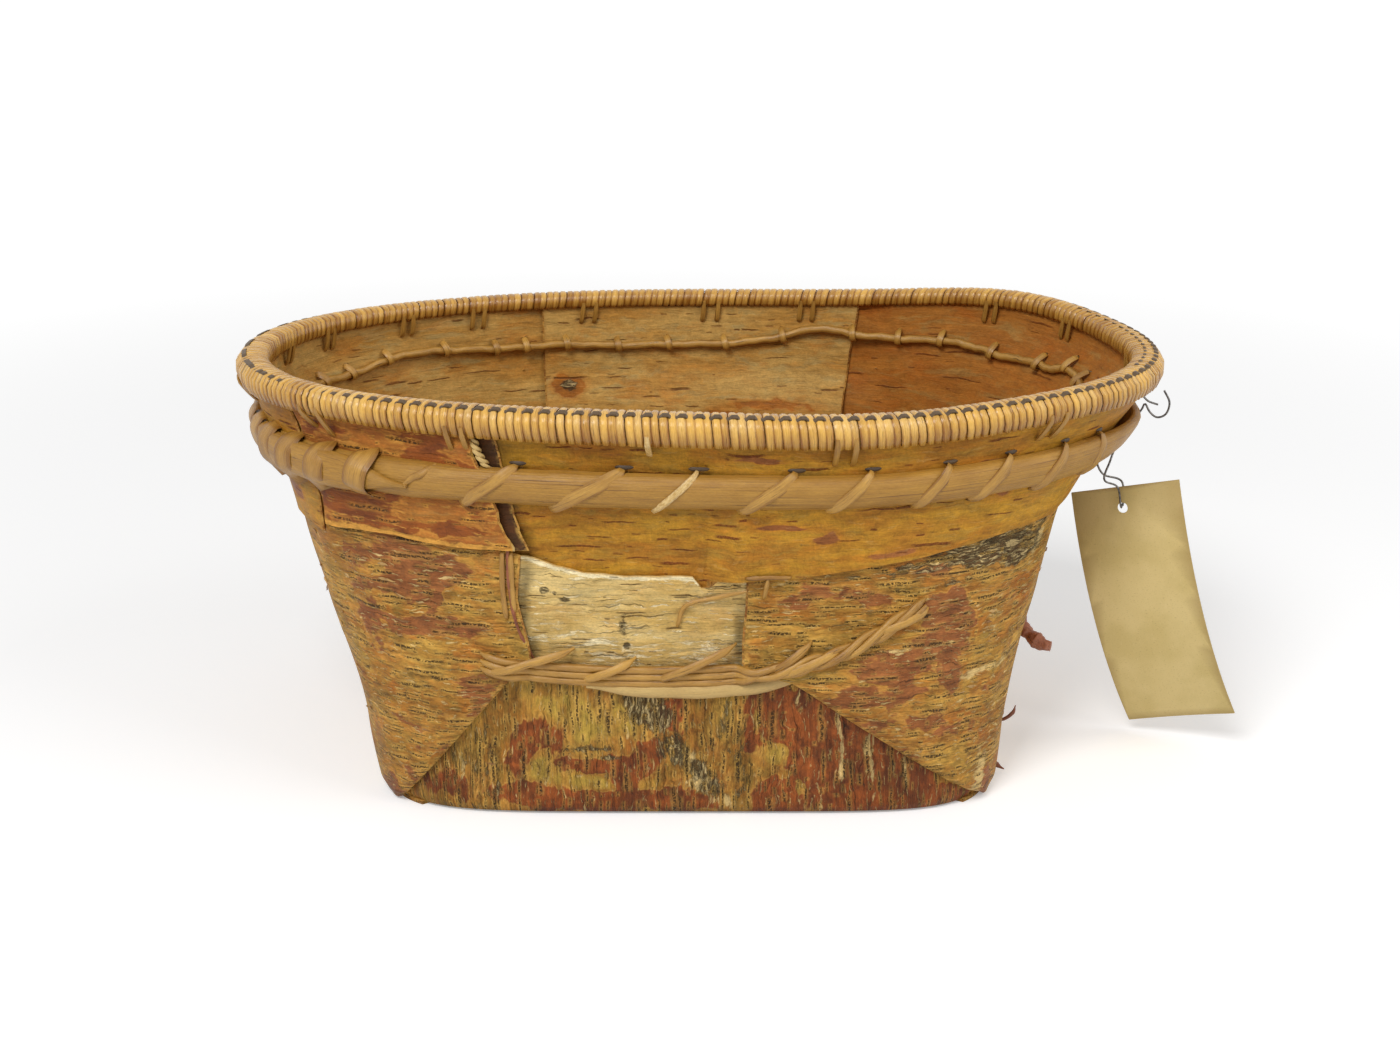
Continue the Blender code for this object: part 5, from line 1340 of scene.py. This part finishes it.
def bandPath(lowStation, highStation, bulgeOut=0.0002):
    # from under the batten's lower edge, up over it, and into the high hole
    share = arr([0.0, 0.0, 0.04, 0.25, 0.5, 0.75, 0.96, 1.0, 1.0])
    station = lowStation + (highStation - lowStation) * share
    face = outerBatten(station)
    low, top = battenSettings["low"], battenSettings["top"]
    heights = arr([low - 0.0006, low - 0.0011, low - 0.0002, low + 0.0028, battenMiddle, top - 0.0028,
        top + 0.0003, top + 0.0013, top + 0.0017])
    base = outerFace + standoff(station)
    depth = face - base
    reach = arr([-1.0, 0.10, 0.42, 0.90, 1.0, 0.90, 0.42, 0.06, -1.0])
    out = np.where(reach < 0, outerFace - 0.003, base + np.maximum(reach, 0) * depth + bulgeOut)
    return wallPoints(station, heights, out)


frontBands = [(-0.081, -0.062), (-0.051, -0.026), (-0.016, -0.001), (0.013, 0.032), (0.043, 0.058),
    (0.072, 0.085), (0.092, 0.107), (0.114, 0.128), (0.133, 0.1425)]
backHoles = [14.81, 15.85, 17.47, 18.98, 20.01, 21.03, 22.45, 23.55, 24.53, 25.46, 26.47, 27.31, 27.96, 29.14,
    30.71, 32.05, 33.24]
innerRootPath = [(-0.3, 0.1300), (2.0, 0.1310), (4.5, 0.1295), (7.0, 0.1312), (9.5, 0.1300), (11.5, 0.1290),
    (12.8, 0.1285), (13.85, 0.1310), (14.81, 0.1335), (15.13, 0.1300), (16.07, 0.1306), (17.09, 0.1290),
    (18.71, 0.1325), (19.95, 0.1328), (21.09, 0.1345), (21.74, 0.1385), (22.45, 0.1334), (23.46, 0.1302),
    (24.53, 0.1303), (25.43, 0.1297), (26.47, 0.1312), (27.9, 0.1306), (29.58, 0.1326), (30.56, 0.1322),
    (31.45, 0.1291), (32.46, 0.1283), (33.3, 0.1286), (35.0, 0.1300), (37.5, 0.1310), (40.0, 0.1295),
    (42.5, 0.1310), (45.0, 0.1300), (46.9, 0.1295)]


def rootHeight(station):
    table = arr(innerRootPath)
    return np.interp(np.mod(arr(station) + 0.3, stations) - 0.3, table[:, 0], table[:, 1])


def addLashings():
    rng = np.random.default_rng(9)
    b = battenSettings
    paths, holes = [], []
    for lowX, highX in frontBands:
        lowS, highS = stationAt(lowX, 0.1182), stationAt(highX, 0.1358)
        paths.append(bandPath(lowS, highS))
        holes.append(highS)
    tones = [0.55, 0.6, 1.0, 0.6, 0.75, 0.5, 0.6, 0.5, 0.55]
    addStrands("frontBands", paths, {"width": b["bandWidth"], "thick": b["bandThick"], "taper": 0.25,
        "taperLength": 0.009, "widths": [1.0, 1.1, 0.55, 1.0, 0.9, 0.95, 1.0, 0.9, 0.9], "tones": tones,
        "edgeShade": 0.75}, lashRoot, ("batten_lashing_front",), rng, steps=22, sides=10)
    paths = []
    for highS in backHoles + [35.9, 11.9, 12.9, 13.9]:
        paths.append(bandPath(highS - 0.62, highS))
        holes.append(highS)
    addStrands("backBands", paths, {"width": b["bandWidth"], "thick": b["bandThick"], "taper": 0.25,
        "taperLength": 0.009, "tone": 0.5, "toneSpread": 0.2, "edgeShade": 0.75}, lashRoot,
        ("batten_lashing_back",), rng, steps=22, sides=10)
    paths = []
    lapStations = np.linspace(-12.9, stationAt(-0.1150, 0.127), 8)
    for s in lapStations:
        paths.append(bandPath(s - 0.10, s + 0.12, 0.0005))
        holes.append(s + 0.12)
    tip = [stationAt(x, 0.128) for x in (-0.0985, -0.0960, -0.0930, -0.0895)]
    hook = wallPoints(tip, [0.1262, 0.1285, 0.1302, 0.1330],
        [float(outerBatten(t)) - d for t, d in zip(tip, (0.001, 0.0002, 0.0002, 0.004))])
    addStrands("lapBands", paths, {"width": b["lapBandWidth"], "thick": b["bandThick"], "taper": 0.5,
        "taperLength": 0.005, "tone": 0.5, "toneSpread": 0.12, "edgeShade": 1.1}, lashRoot,
        ("lap_lashing",), rng, steps=22, sides=12)
    addStrands("lapHook", [hook], {"width": 0.0026, "thick": 0.0018, "tone": 0.6, "taper": 0.5}, lashRoot,
        (), rng, steps=12, sides=8)
    # the awl holes above the batten: small dark pieces round each root, painted shade inside the holes
    spots = []
    for highS in holes[:len(frontBands) + len(backHoles) + 4]:
        at = arr([highS - 0.11, highS - 0.04, highS + 0.06, highS + 0.16])
        spots.append(wallPoints(at, b["top"] + 0.0019, outerFace - 0.0004 + 0.0005 * arr([0, 1, 1, 0])))
    addStrands("awlHoleShade", spots, {"width": 0.0015, "thick": 0.0006, "tone": 0.1, "taper": 0.3,
        "taperLength": 0.0012}, darkStrip, (), rng, steps=8, sides=8)
    # the inner root and the stitches that hold it
    table = arr(innerRootPath)
    at = np.linspace(table[0, 0], table[-1, 0], 420)
    centre = innerFace - b["rootRadius"] - 0.0004
    rise = np.convolve(np.pad(np.interp(at, table[:, 0], table[:, 1]), 5, mode="edge"),
        np.hanning(13)[1:-1] / 6.0, "valid")
    rise = rise + 0.0004 * wobble(at, 6.0, 0.9)
    path = wallPoints(at, rise, np.full(len(at), centre) + 0.0002 * wobble(at, 2.0, 1.5))
    addStrands("innerRoot", [path], {"width": 0.0034, "thick": 0.0030, "tone": 0.85, "lump": 0.08,
        "taper": 0.6, "edgeShade": 0.5}, lashRoot, ("inner_root",), rng, steps=520, sides=8)
    paths = []
    for s in holes:
        z = float(rootHeight(s))
        up = z + 0.0031
        paths.append(wallPoints([s + 0.06, s + 0.05, s + 0.02, s, s - 0.02, s - 0.03],
            [up, up + 0.0002, z + 0.0017, z, z - 0.0017, z - 0.0026],
            [innerFace + 0.002, innerFace - 0.0006, centre - 0.0017, centre - 0.0022, centre - 0.0012,
            innerFace + 0.0010]))
    addStrands("rootStitches", paths, {"width": 0.0030, "thick": 0.0012, "tone": 0.65, "taper": 0.7,
        "edgeShade": 0.6}, lashRoot, (), rng, steps=12, sides=6)
    print("batten and lashings ready")


addBatten()
addLashings()

flapSettings = {"splintReach": 0.040, "splintWidth": 0.0052, "splintThick": 0.0026, "rootWidth": 0.0030,
    "rootThick": 0.0026, "rootFrom": 0.0765, "rootTo": 0.079, "rootHeight": 0.0567, "rootSpacing": 0.0026}
rootPath = [(-0.076, 0.0055), (-0.068, 0.0035), (-0.060, 0.0020), (-0.050, 0.0010), (-0.025, 0.0), (0.0, 0.0),
    (0.009, 0.0004), (0.018, 0.0012), (0.034, 0.0045), (0.050, 0.0095), (0.064, 0.0165), (0.078, 0.0250)]


def faceAt(x, height):
    # the outer face of the bark round the flap's fastening
    onFlap = soft(x, -0.066, -0.060) * (1 - soft(x, 0.012, 0.018))
    onWrap = layer[4] + bark - (layer[4] - layer[2]) * np.clip((height - foldTop) / (foldEnd - foldTop), 0, 1)
    return onFlap * (layer[2] + bark) + (1 - onFlap) * onWrap


def wallLine(places, side):
    # places: x, height and offset from the wall
    rows = arr([(stationAt(x, h, side), h, o) for x, h, o in places])
    return wallPoints(rows[:, 0], rows[:, 1], rows[:, 2])


def addFlapFastening(prefix, node, side, count):
    rng = np.random.default_rng(21 if side == "front" else 22)
    s = flapSettings
    xs = np.linspace(-s["splintReach"], s["splintReach"], 15)
    sag = np.interp(xs, [-0.040, -0.02, 0, 0.02, 0.040], [0.0533, 0.0513, 0.0507, 0.0525, 0.0576])
    splint = wallLine([(x, h, layer[2] + bark + 0.0016) for x, h in zip(xs, sag)], side)
    addStrands(prefix + "Splint", [splint],
        {"width": s["splintWidth"], "thick": s["splintThick"], "taper": 0.35, "taperLength": 0.018,
        "tone": 0.6, "lump": 0.04}, splintWood, (node + "_splint",), rng, steps=60, sides=12)
    table = arr(rootPath)
    paths = []
    for n in range(count):
        xs = np.linspace(-s["rootFrom"], s["rootTo"], 60)
        base = np.interp(xs, table[:, 0], table[:, 1])
        spread = (n - 0.5 * (count - 1)) * s["rootSpacing"]
        weave = soft(xs, 0.010, 0.030)
        turn = 2 * pi * (xs - 0.01) / 0.030 + n * 2 * pi / count
        up = s["rootHeight"] + base + spread * (1 - weave) + weave * 0.0019 * np.sin(turn)
        face = np.array([float(faceAt(x, h)) for x, h in zip(xs, up)])
        out = face + 0.0014 + weave * (0.0006 + 0.0011 * np.cos(turn))
        ends = 1 - soft(np.minimum(xs + s["rootFrom"], s["rootTo"] - xs), 0, 0.004)
        paths.append(wallLine([(x, h, o - 0.0018 * e) for x, h, o, e in zip(xs, up, out, ends)], side))
    for n, path in enumerate(paths):
        addStrands("%sRoot%d" % (prefix, n + 1), [path],
            {"width": s["rootWidth"], "thick": s["rootThick"], "tone": 0.42 + 0.1 * n, "lump": 0.08,
            "taper": 0.5}, lashRoot, ("%s_root_%d" % (node, n + 1),), rng, steps=150, sides=8)
    paths = []
    for (x0, h0), (x1, h1) in (((-0.0755, 0.0580), (-0.0440, 0.0668)), ((-0.0425, 0.0550), (-0.0225, 0.0634)),
            ((-0.0170, 0.0545), (0.0128, 0.0682)), ((0.0235, 0.0585), (0.0395, 0.0705)),
            ((0.0245, 0.0570), (0.0520, 0.0688)), ((0.0590, 0.0715), (0.0810, 0.0802))):
        places = []
        for t in np.linspace(0, 1, 11):
            x, h = x0 + (x1 - x0) * t, h0 + (h1 - h0) * t
            arch = math.sin(pi * t) ** 0.5
            places.append((x, h, float(faceAt(x, h)) - 0.0012 + 0.0052 * arch))
        paths.append(wallLine(places, side))
    addStrands(prefix + "Lashing", paths, {"width": 0.0030, "thick": 0.0015, "tone": 0.62, "toneSpread": 0.3,
        "taper": 0.35, "taperLength": 0.007, "lump": 0.08}, lashRoot, (node + "_lashing",), rng,
        steps=28, sides=8)
    if side == "back":
        return
    onWall = layer[2] + bark
    stitch = wallLine([(-0.0680, 0.1030, onWall - 0.001), (-0.0682, 0.1015, onWall + 0.0006),
        (-0.0683, 0.090, onWall + 0.0007), (-0.0674, 0.0790, onWall + 0.0006),
        (-0.0673, 0.0775, onWall - 0.001)], side)
    other = wallLine([(-0.0652, 0.1025, onWall - 0.001), (-0.0652, 0.1010, onWall + 0.0006),
        (-0.0650, 0.090, onWall + 0.0007), (-0.0645, 0.0815, onWall + 0.0006),
        (-0.0643, 0.0800, onWall - 0.001)], side)
    addStrands("sideStitch", [stitch, other], {"width": 0.0020, "thick": 0.0012, "tone": 0.5, "taper": 0.5,
        "lump": 0.1}, lashRoot, ("side_stitch",), rng, steps=24, sides=8)
    onPatch = layer[1] + bark
    onPanel = layer[3] + bark
    loose = wallLine([(-0.0080, 0.0740, onPatch - 0.001), (-0.0075, 0.0765, onPatch + 0.0008),
        (-0.0048, 0.0832, onPatch + 0.0010), (0.0060, 0.0865, onPatch + 0.0016),
        (0.0162, 0.0896, onPanel + 0.0006)], side)
    bar = wallLine([(0.0155, 0.0946, onPanel - 0.001), (0.0165, 0.0946, onPanel + 0.0007),
        (0.0235, 0.0949, onPanel + 0.0010), (0.0305, 0.0946, onPanel + 0.0007),
        (0.0315, 0.0946, onPanel - 0.001)], side)
    stem = wallLine([(0.0234, 0.0952, onPanel + 0.0008), (0.0230, 0.0920, onPanel + 0.0008),
        (0.0222, 0.0870, onPanel - 0.0002), (0.0218, 0.0855, onPanel - 0.0018)], side)
    addStrands("patchStitch", [loose, bar, stem],
        {"width": 0.0016, "thick": 0.0010, "tone": 0.35, "taper": 0.5, "lump": 0.12}, lashRoot,
        ("patch_stitch",), rng, steps=24, sides=8)


addFlapFastening("frontFlap", "front_flap", "front", 3)
addFlapFastening("backFlap", "back_flap", "back", 2)
print("flap fastenings ready")


# Tag and wire
tagSettings = {"width": 0.0424, "holeSide": 0.0018, "length": 0.098, "thick": 0.0007, "hole": 0.002,
    "drop": 0.0075, "bow": 0.009, "tilt": 16.9, "yaw": 27.0, "place": (0.160, -0.028, 0.0964), "wire": 0.0004,
    "square": 0.0060, "slices": 26, "cup": 0.0008}
tilt, yaw = math.radians(tagSettings["tilt"]), math.radians(tagSettings["yaw"])
tagHole = Vector(tagSettings["place"])
tagDown = Vector((math.sin(tilt), 0.0, -math.cos(tilt)))
tagAcross = Vector((math.cos(yaw) * math.cos(tilt), -math.sin(yaw), math.cos(yaw) * math.sin(tilt)))
tagNormal = tagDown.cross(tagAcross)
tagPivot = tagHole - tagDown * (tagSettings["hole"] - tagSettings["wire"] - gap)


def tagBow(down):
    share = (down + tagSettings["drop"]) / tagSettings["length"]
    drop = tagSettings["drop"] / tagSettings["length"]
    return 4 * tagSettings["bow"] * (share * (1 - share) - drop * (1 - drop))


def cardMaterial():
    made, tree, shader = newMaterial("tagCard")
    lay = scaled(tree, attribute(tree, "lay", "Vector"), inMillimetres)
    cloud = noise(tree, lay, (1 / 18, 1 / 18, 1 / 18), 2.0, 3.0)
    fleck = noise(tree, lay, (1 / 0.9, 1 / 0.45, 1 / 0.6), 6.0, 3.0, 0.6)
    fibre = noise(tree, lay, (1 / 0.35, 1 / 2.4, 1 / 0.4), 9.0, 3.0, 0.6)
    base = blend(tree, band(tree, cloud, 0.35, 0.65), colour(220, 198, 138), colour(208, 186, 124))
    base = blend(tree, times(tree, band(tree, fleck, 0.58, 0.70), 0.35), base, colour(146, 120, 74))
    base = blend(tree, times(tree, band(tree, fibre, 0.60, 0.72), 0.30), base, colour(230, 210, 156))
    base = blend(tree, times(tree, attribute(tree, "edge"), 0.45), base, colour(138, 108, 62))
    tree.links.new(base, shader.inputs["Base Color"])
    tree.links.new(calc(tree, "MULTIPLY_ADD", fleck, 0.15, 0.72), shader.inputs["Roughness"])
    relief = put(tree, "ShaderNodeBump", {"Height": fibre, "Strength": 0.6, "Distance": 0.0001})
    tree.links.new(relief.outputs[0], shader.inputs["Normal"])
    shader.inputs["Specular IOR Level"].default_value = 0.2
    return made


def addTag():
    s = tagSettings
    bm = bmesh.new()
    # the hole is a ring bridged out to a square, and the card is cut round it
    bmesh.ops.create_circle(bm, cap_ends=False, segments=32, radius=s["hole"])
    outer = bmesh.ops.create_circle(bm, cap_ends=False, segments=32, radius=s["square"])["verts"]
    bmesh.ops.bridge_loops(bm, edges=bm.edges[:])
    for vertex in outer:
        reach = max(abs(vertex.co.x), abs(vertex.co.y))
        vertex.co = vertex.co * (s["square"] / reach)
    sides = [e for e in bm.edges if e.is_boundary and min(v.co.length for v in e.verts) > 0.004]
    grown = bmesh.ops.extrude_edge_only(bm, edges=sides)
    half, up, down = 0.5 * s["width"], -s["drop"], s["length"] - s["drop"]
    for item in grown["geom"]:
        if isinstance(item, bmesh.types.BMVert):
            x, y = item.co.x / s["square"], item.co.y / s["square"]
            item.co.x = x * half + s["holeSide"]
            item.co.y = y * down if y > 0 else y * -up
    for n in range(1, s["slices"]):
        at = up + s["length"] * n / s["slices"]
        if abs(at) > 0.0061:
            bmesh.ops.bisect_plane(bm, geom=bm.verts[:] + bm.edges[:] + bm.faces[:], dist=1e-6,
                plane_co=(0, at, 0), plane_no=(0, 1, 0))
    bmesh.ops.recalc_face_normals(bm, faces=bm.faces)
    grown = bmesh.ops.extrude_face_region(bm, geom=bm.faces[:])
    bmesh.ops.translate(bm, verts=[g for g in grown["geom"] if isinstance(g, bmesh.types.BMVert)],
        vec=(0, 0, 1))
    flat = pointArray(bm)
    places = []
    for x, y, z in flat:
        cup = s["cup"] * ((x - s["holeSide"]) / half) ** 2 * (y / down)
        point = tagHole + tagAcross * x + tagDown * y + tagNormal * (tagBow(y) + (z - 0.5) * s["thick"] + cup)
        places.append(point[:])
    setPoints(bm, places)
    rim = np.minimum(half - np.abs(flat[:, 0] - s["holeSide"]),
        np.minimum(flat[:, 1] - up, down - flat[:, 1]))
    values = {"lay": flat * arr([1, 1, s["thick"]]), "edge": np.exp(-(rim / 0.0005) ** 2)}
    makePiece("museumTag", bm, [cardMaterial()], values, "tag", ("museum_tag",))


def addWire():
    clear, above, swingRoom = 0.0016, 0.0085, 0.0013
    strand = tagNormal * clear
    spread = tagNormal * swingRoom
    cardTop = tagHole - tagDown * above + tagNormal * tagBow(-above)
    points = [(0.1758, -0.0140, 0.1385), (0.1780, -0.0145, 0.1340), (0.1770, -0.0145, 0.1295),
        (0.1738, -0.0140, 0.1280), (0.1710, -0.0135, 0.1300), (0.1692, -0.0125, 0.1330),
        (0.1680, -0.0128, 0.1308), (0.1643, -0.0155, 0.1270), (0.1616, -0.0183, 0.1233),
        (0.1575, -0.0215, 0.1192), (0.1546, -0.0255, 0.1140), (0.1523, -0.0282, 0.1075)]
    points += [cardTop + strand + spread, tagPivot + strand, tagPivot, tagPivot - strand,
        cardTop - strand - spread]
    points += [(0.1523, -0.0248, 0.1088), (0.1498, -0.0225, 0.1150), (0.1521, -0.0179, 0.1207),
        (0.1564, -0.0165, 0.1270), (0.1622, -0.0125, 0.1333), (0.1652, -0.0108, 0.1355),
        (0.1684, -0.0105, 0.1355), (0.1708, -0.0108, 0.1335), (0.1745, -0.0110, 0.1322)]
    line, length = smoothPath([list(p) for p in points], 170)
    curve = bpy.data.curves.new("tagWire", "CURVE")
    curve.dimensions = "3D"
    curve.bevel_depth = tagSettings["wire"]
    curve.bevel_resolution = 2
    curve.use_fill_caps = True
    spline = curve.splines.new("POLY")
    spline.points.add(len(line) - 1)
    for target, point in zip(spline.points, line):
        target.co = (*point, 1.0)
    made, tree, shader = newMaterial("wireMetal")
    where = put(tree, "ShaderNodeTexCoord").outputs["Object"]
    tarnish = noise(tree, where, (900.0, 900.0, 900.0), 1.0, 3.0)
    tree.links.new(blend(tree, band(tree, tarnish, 0.4, 0.65), colour(120, 116, 112), colour(74, 70, 66)),
        shader.inputs["Base Color"])
    tree.links.new(calc(tree, "MULTIPLY_ADD", tarnish, 0.3, 0.25), shader.inputs["Roughness"])
    shader.inputs["Metallic"].default_value = 0.85
    curve.materials.append(made)
    wire = newObject("tagWire", curve)
    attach(wire, "basket")
    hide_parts("tag_wire")
    print("wire length %.4f" % length)


addWire()
addTag()


def addSlivers():
    # curls and slivers of bark that stand off the right end
    rng = np.random.default_rng(31)
    curl = [(0.1130, -0.022, 0.0555), (0.1185, -0.026, 0.0535), (0.1225, -0.030, 0.0505),
        (0.1265, -0.0335, 0.0470), (0.1305, -0.036, 0.0445), (0.1340, -0.0375, 0.0438)]
    addStrands("barkCurl", [curl], {"width": 0.0084, "thick": 0.0050, "tone": 0.62, "lump": 0.30,
        "twist": 0.8, "taper": 0.75}, redRoot, (), rng, steps=60, sides=14)
    spikes = [[(0.1100, -0.045, 0.0165), (0.1150, -0.048, 0.0180), (0.1185, -0.050, 0.0215),
        (0.1195, -0.0505, 0.0250)],
        [(0.1060, -0.050, 0.0050), (0.1100, -0.055, 0.0046), (0.1135, -0.058, 0.0030),
        (0.1150, -0.059, 0.0026)],
        [(0.1055, -0.050, 0.0062), (0.1090, -0.054, 0.0070), (0.1115, -0.056, 0.0078)],
        [(0.1050, -0.055, 0.0012), (0.1080, -0.060, 0.0010), (0.1100, -0.063, 0.0006)]]
    addStrands("barkSlivers", spikes, {"width": 0.0022, "thick": 0.0012, "tone": 0.15, "lump": 0.25,
        "taper": 0.3}, redRoot, (), rng, steps=16, sides=8)


addSlivers()


flakeSettings = {"perSide": 52, "low": 0.018, "reach": 0.16, "moreReach": 0.42, "width": 0.0011,
    "thick": 0.0005, "seed": 53}


def addBarkFlakes():
    # raised curls of outer bark, as on the end walls in the photo
    s = flakeSettings
    rng = np.random.default_rng(s["seed"])
    paths, widths = [], []
    for low, high, top in ((-15.5, stationAt(-0.075, 0.08), 0.098), (stationAt(0.060, 0.08), 15.5, 0.088)):
        for n in range(s["perSide"]):
            start, height = low + (high - low) * rng.random(), s["low"] + (top - s["low"]) * rng.random()
            reach = s["reach"] + s["moreReach"] * rng.random() ** 2
            at = start + reach * np.linspace(0, 1, 6)
            heights = height + 0.0012 * (rng.random() - 0.5) * np.linspace(0, 1, 6)
            heights = heights + 0.0004 * wobble(at, n, 0.4)
            lift = arr([-0.0001, 0.0002, 0.0003, 0.0003, 0.0003, 0.0004 + 0.0007 * rng.random()])
            paths.append(wallPoints(at, heights, wrapOffset(at, heights) + bark + lift))
            widths.append(0.55 + 0.75 * rng.random())
    addStrands("barkFlakes", paths, {"width": s["width"], "thick": s["thick"], "widths": widths, "tone": 0.45,
        "toneSpread": 0.5, "taper": 0.2, "taperLength": 0.0025, "lump": 0.25}, flakeBark, (), rng,
        steps=12, sides=6)


addBarkFlakes()


def addWrapLip():
    rng = np.random.default_rng(47)
    on = layer[2] + bark
    places = [(-0.0664, 0.1035, on), (-0.0660, 0.0960, on + 0.0004), (-0.0655, 0.0860, on + 0.0003),
        (-0.0640, 0.0770, on + 0.0005), (-0.0612, 0.0690, on + 0.0002), (-0.0585, 0.0630, on - 0.0004)]
    addStrands("wrapLip", [wallLine(places, "front")],
        {"width": 0.0019, "thick": 0.0012, "tone": 0.4, "lump": 0.3, "taper": 0.5, "twist": 0.5}, redRoot,
        (), rng, steps=70, sides=8)


addWrapLip()


def addHangingRoot():
    rng = np.random.default_rng(41)
    at = [stationAt(x, h) for x, h in ((-0.0765, 0.1440), (-0.0752, 0.1400), (-0.0735, 0.1365),
        (-0.0712, 0.1335))]
    core = wallPoints(at, [0.1440, 0.1400, 0.1365, 0.1330],
        layer[3] + bark + arr([0.0010, 0.0016, 0.0016, 0.0008]))
    strands = []
    for n in range(2):
        fine = smoothPath(core, 22)[0]
        turn = np.linspace(0, 5 * pi, 22) + n * pi
        strands.append(fine + np.stack((0.0009 * np.cos(turn), 0.0009 * np.sin(turn), 0 * turn), axis=1))
    addStrands("hangingRoot", strands, {"width": 0.0016, "thick": 0.0012, "tone": 0.9, "taper": 0.4},
        splintWood, (), rng, steps=60, sides=6)


addHangingRoot()
print("tag, wire and slivers ready")


# Floor, backdrop and light
stageSettings = {"floor": 0.86, "glow": 0.27, "farGlow": 0.75, "key": 16.8, "fill": 6.5, "world": 0.38,
    "floorSize": 40.0, "keyPlace": (-0.5, -1.05, 1.35), "keySize": 0.65, "fillPlace": (1.1, -0.5, 0.9),
    "fillSize": 1.0, "aim": (0, 0, 0.07)}


def addStage():
    bm = bmesh.new()
    bmesh.ops.create_grid(bm, x_segments=8, y_segments=8, size=stageSettings["floorSize"])
    mesh = bpy.data.meshes.new("floor")
    bm.to_mesh(mesh)
    bm.free()
    floor = newObject("floor", mesh)
    made, tree, shader = newMaterial("paperFloor")
    level = stageSettings["floor"]
    shader.inputs["Base Color"].default_value = (level, level, level, 1.0)
    shader.inputs["Roughness"].default_value = 0.9
    shader.inputs["Specular IOR Level"].default_value = 0.0
    path = put(tree, "ShaderNodeLightPath")
    seen = calc(tree, "MAXIMUM", path.outputs["Is Camera Ray"], path.outputs["Is Glossy Ray"])
    place = put(tree, "ShaderNodeTexCoord").outputs["Object"]
    away = put(tree, "ShaderNodeVectorMath", {0: place}, operation="LENGTH").outputs["Value"]
    glow = band(tree, away, 0.35, 1.6, stageSettings["glow"], stageSettings["farGlow"])
    tree.links.new(times(tree, seen, glow), shader.inputs["Emission Strength"])
    shader.inputs["Emission Color"].default_value = (1, 1, 1, 1)
    mesh.materials.append(made)
    world = bpy.data.worlds.new("studio")
    bpy.context.scene.world = world
    world.use_nodes = True
    tree = world.node_tree
    path = put(tree, "ShaderNodeLightPath")
    seen = calc(tree, "MAXIMUM", path.outputs["Is Camera Ray"],
        calc(tree, "MAXIMUM", path.outputs["Is Glossy Ray"], path.outputs["Is Transmission Ray"]))
    strength = calc(tree, "MULTIPLY_ADD", seen, 1.0 - stageSettings["world"], stageSettings["world"])
    tree.nodes["Background"].inputs[0].default_value = (1, 1, 1, 1)
    tree.links.new(strength, tree.nodes["Background"].inputs[1])
    for name in ("key", "fill"):
        place = stageSettings[name + "Place"]
        light = bpy.data.lights.new(name, "AREA")
        light.shape = "SQUARE"
        light.size = stageSettings[name + "Size"]
        light.energy = stageSettings[name]
        lamp = newObject(name, light)
        lamp.location = place
        aim = Vector(stageSettings["aim"]) - Vector(place)
        lamp.rotation_euler = aim.to_track_quat("-Z", "Y").to_euler()


addStage()
print("stage ready")
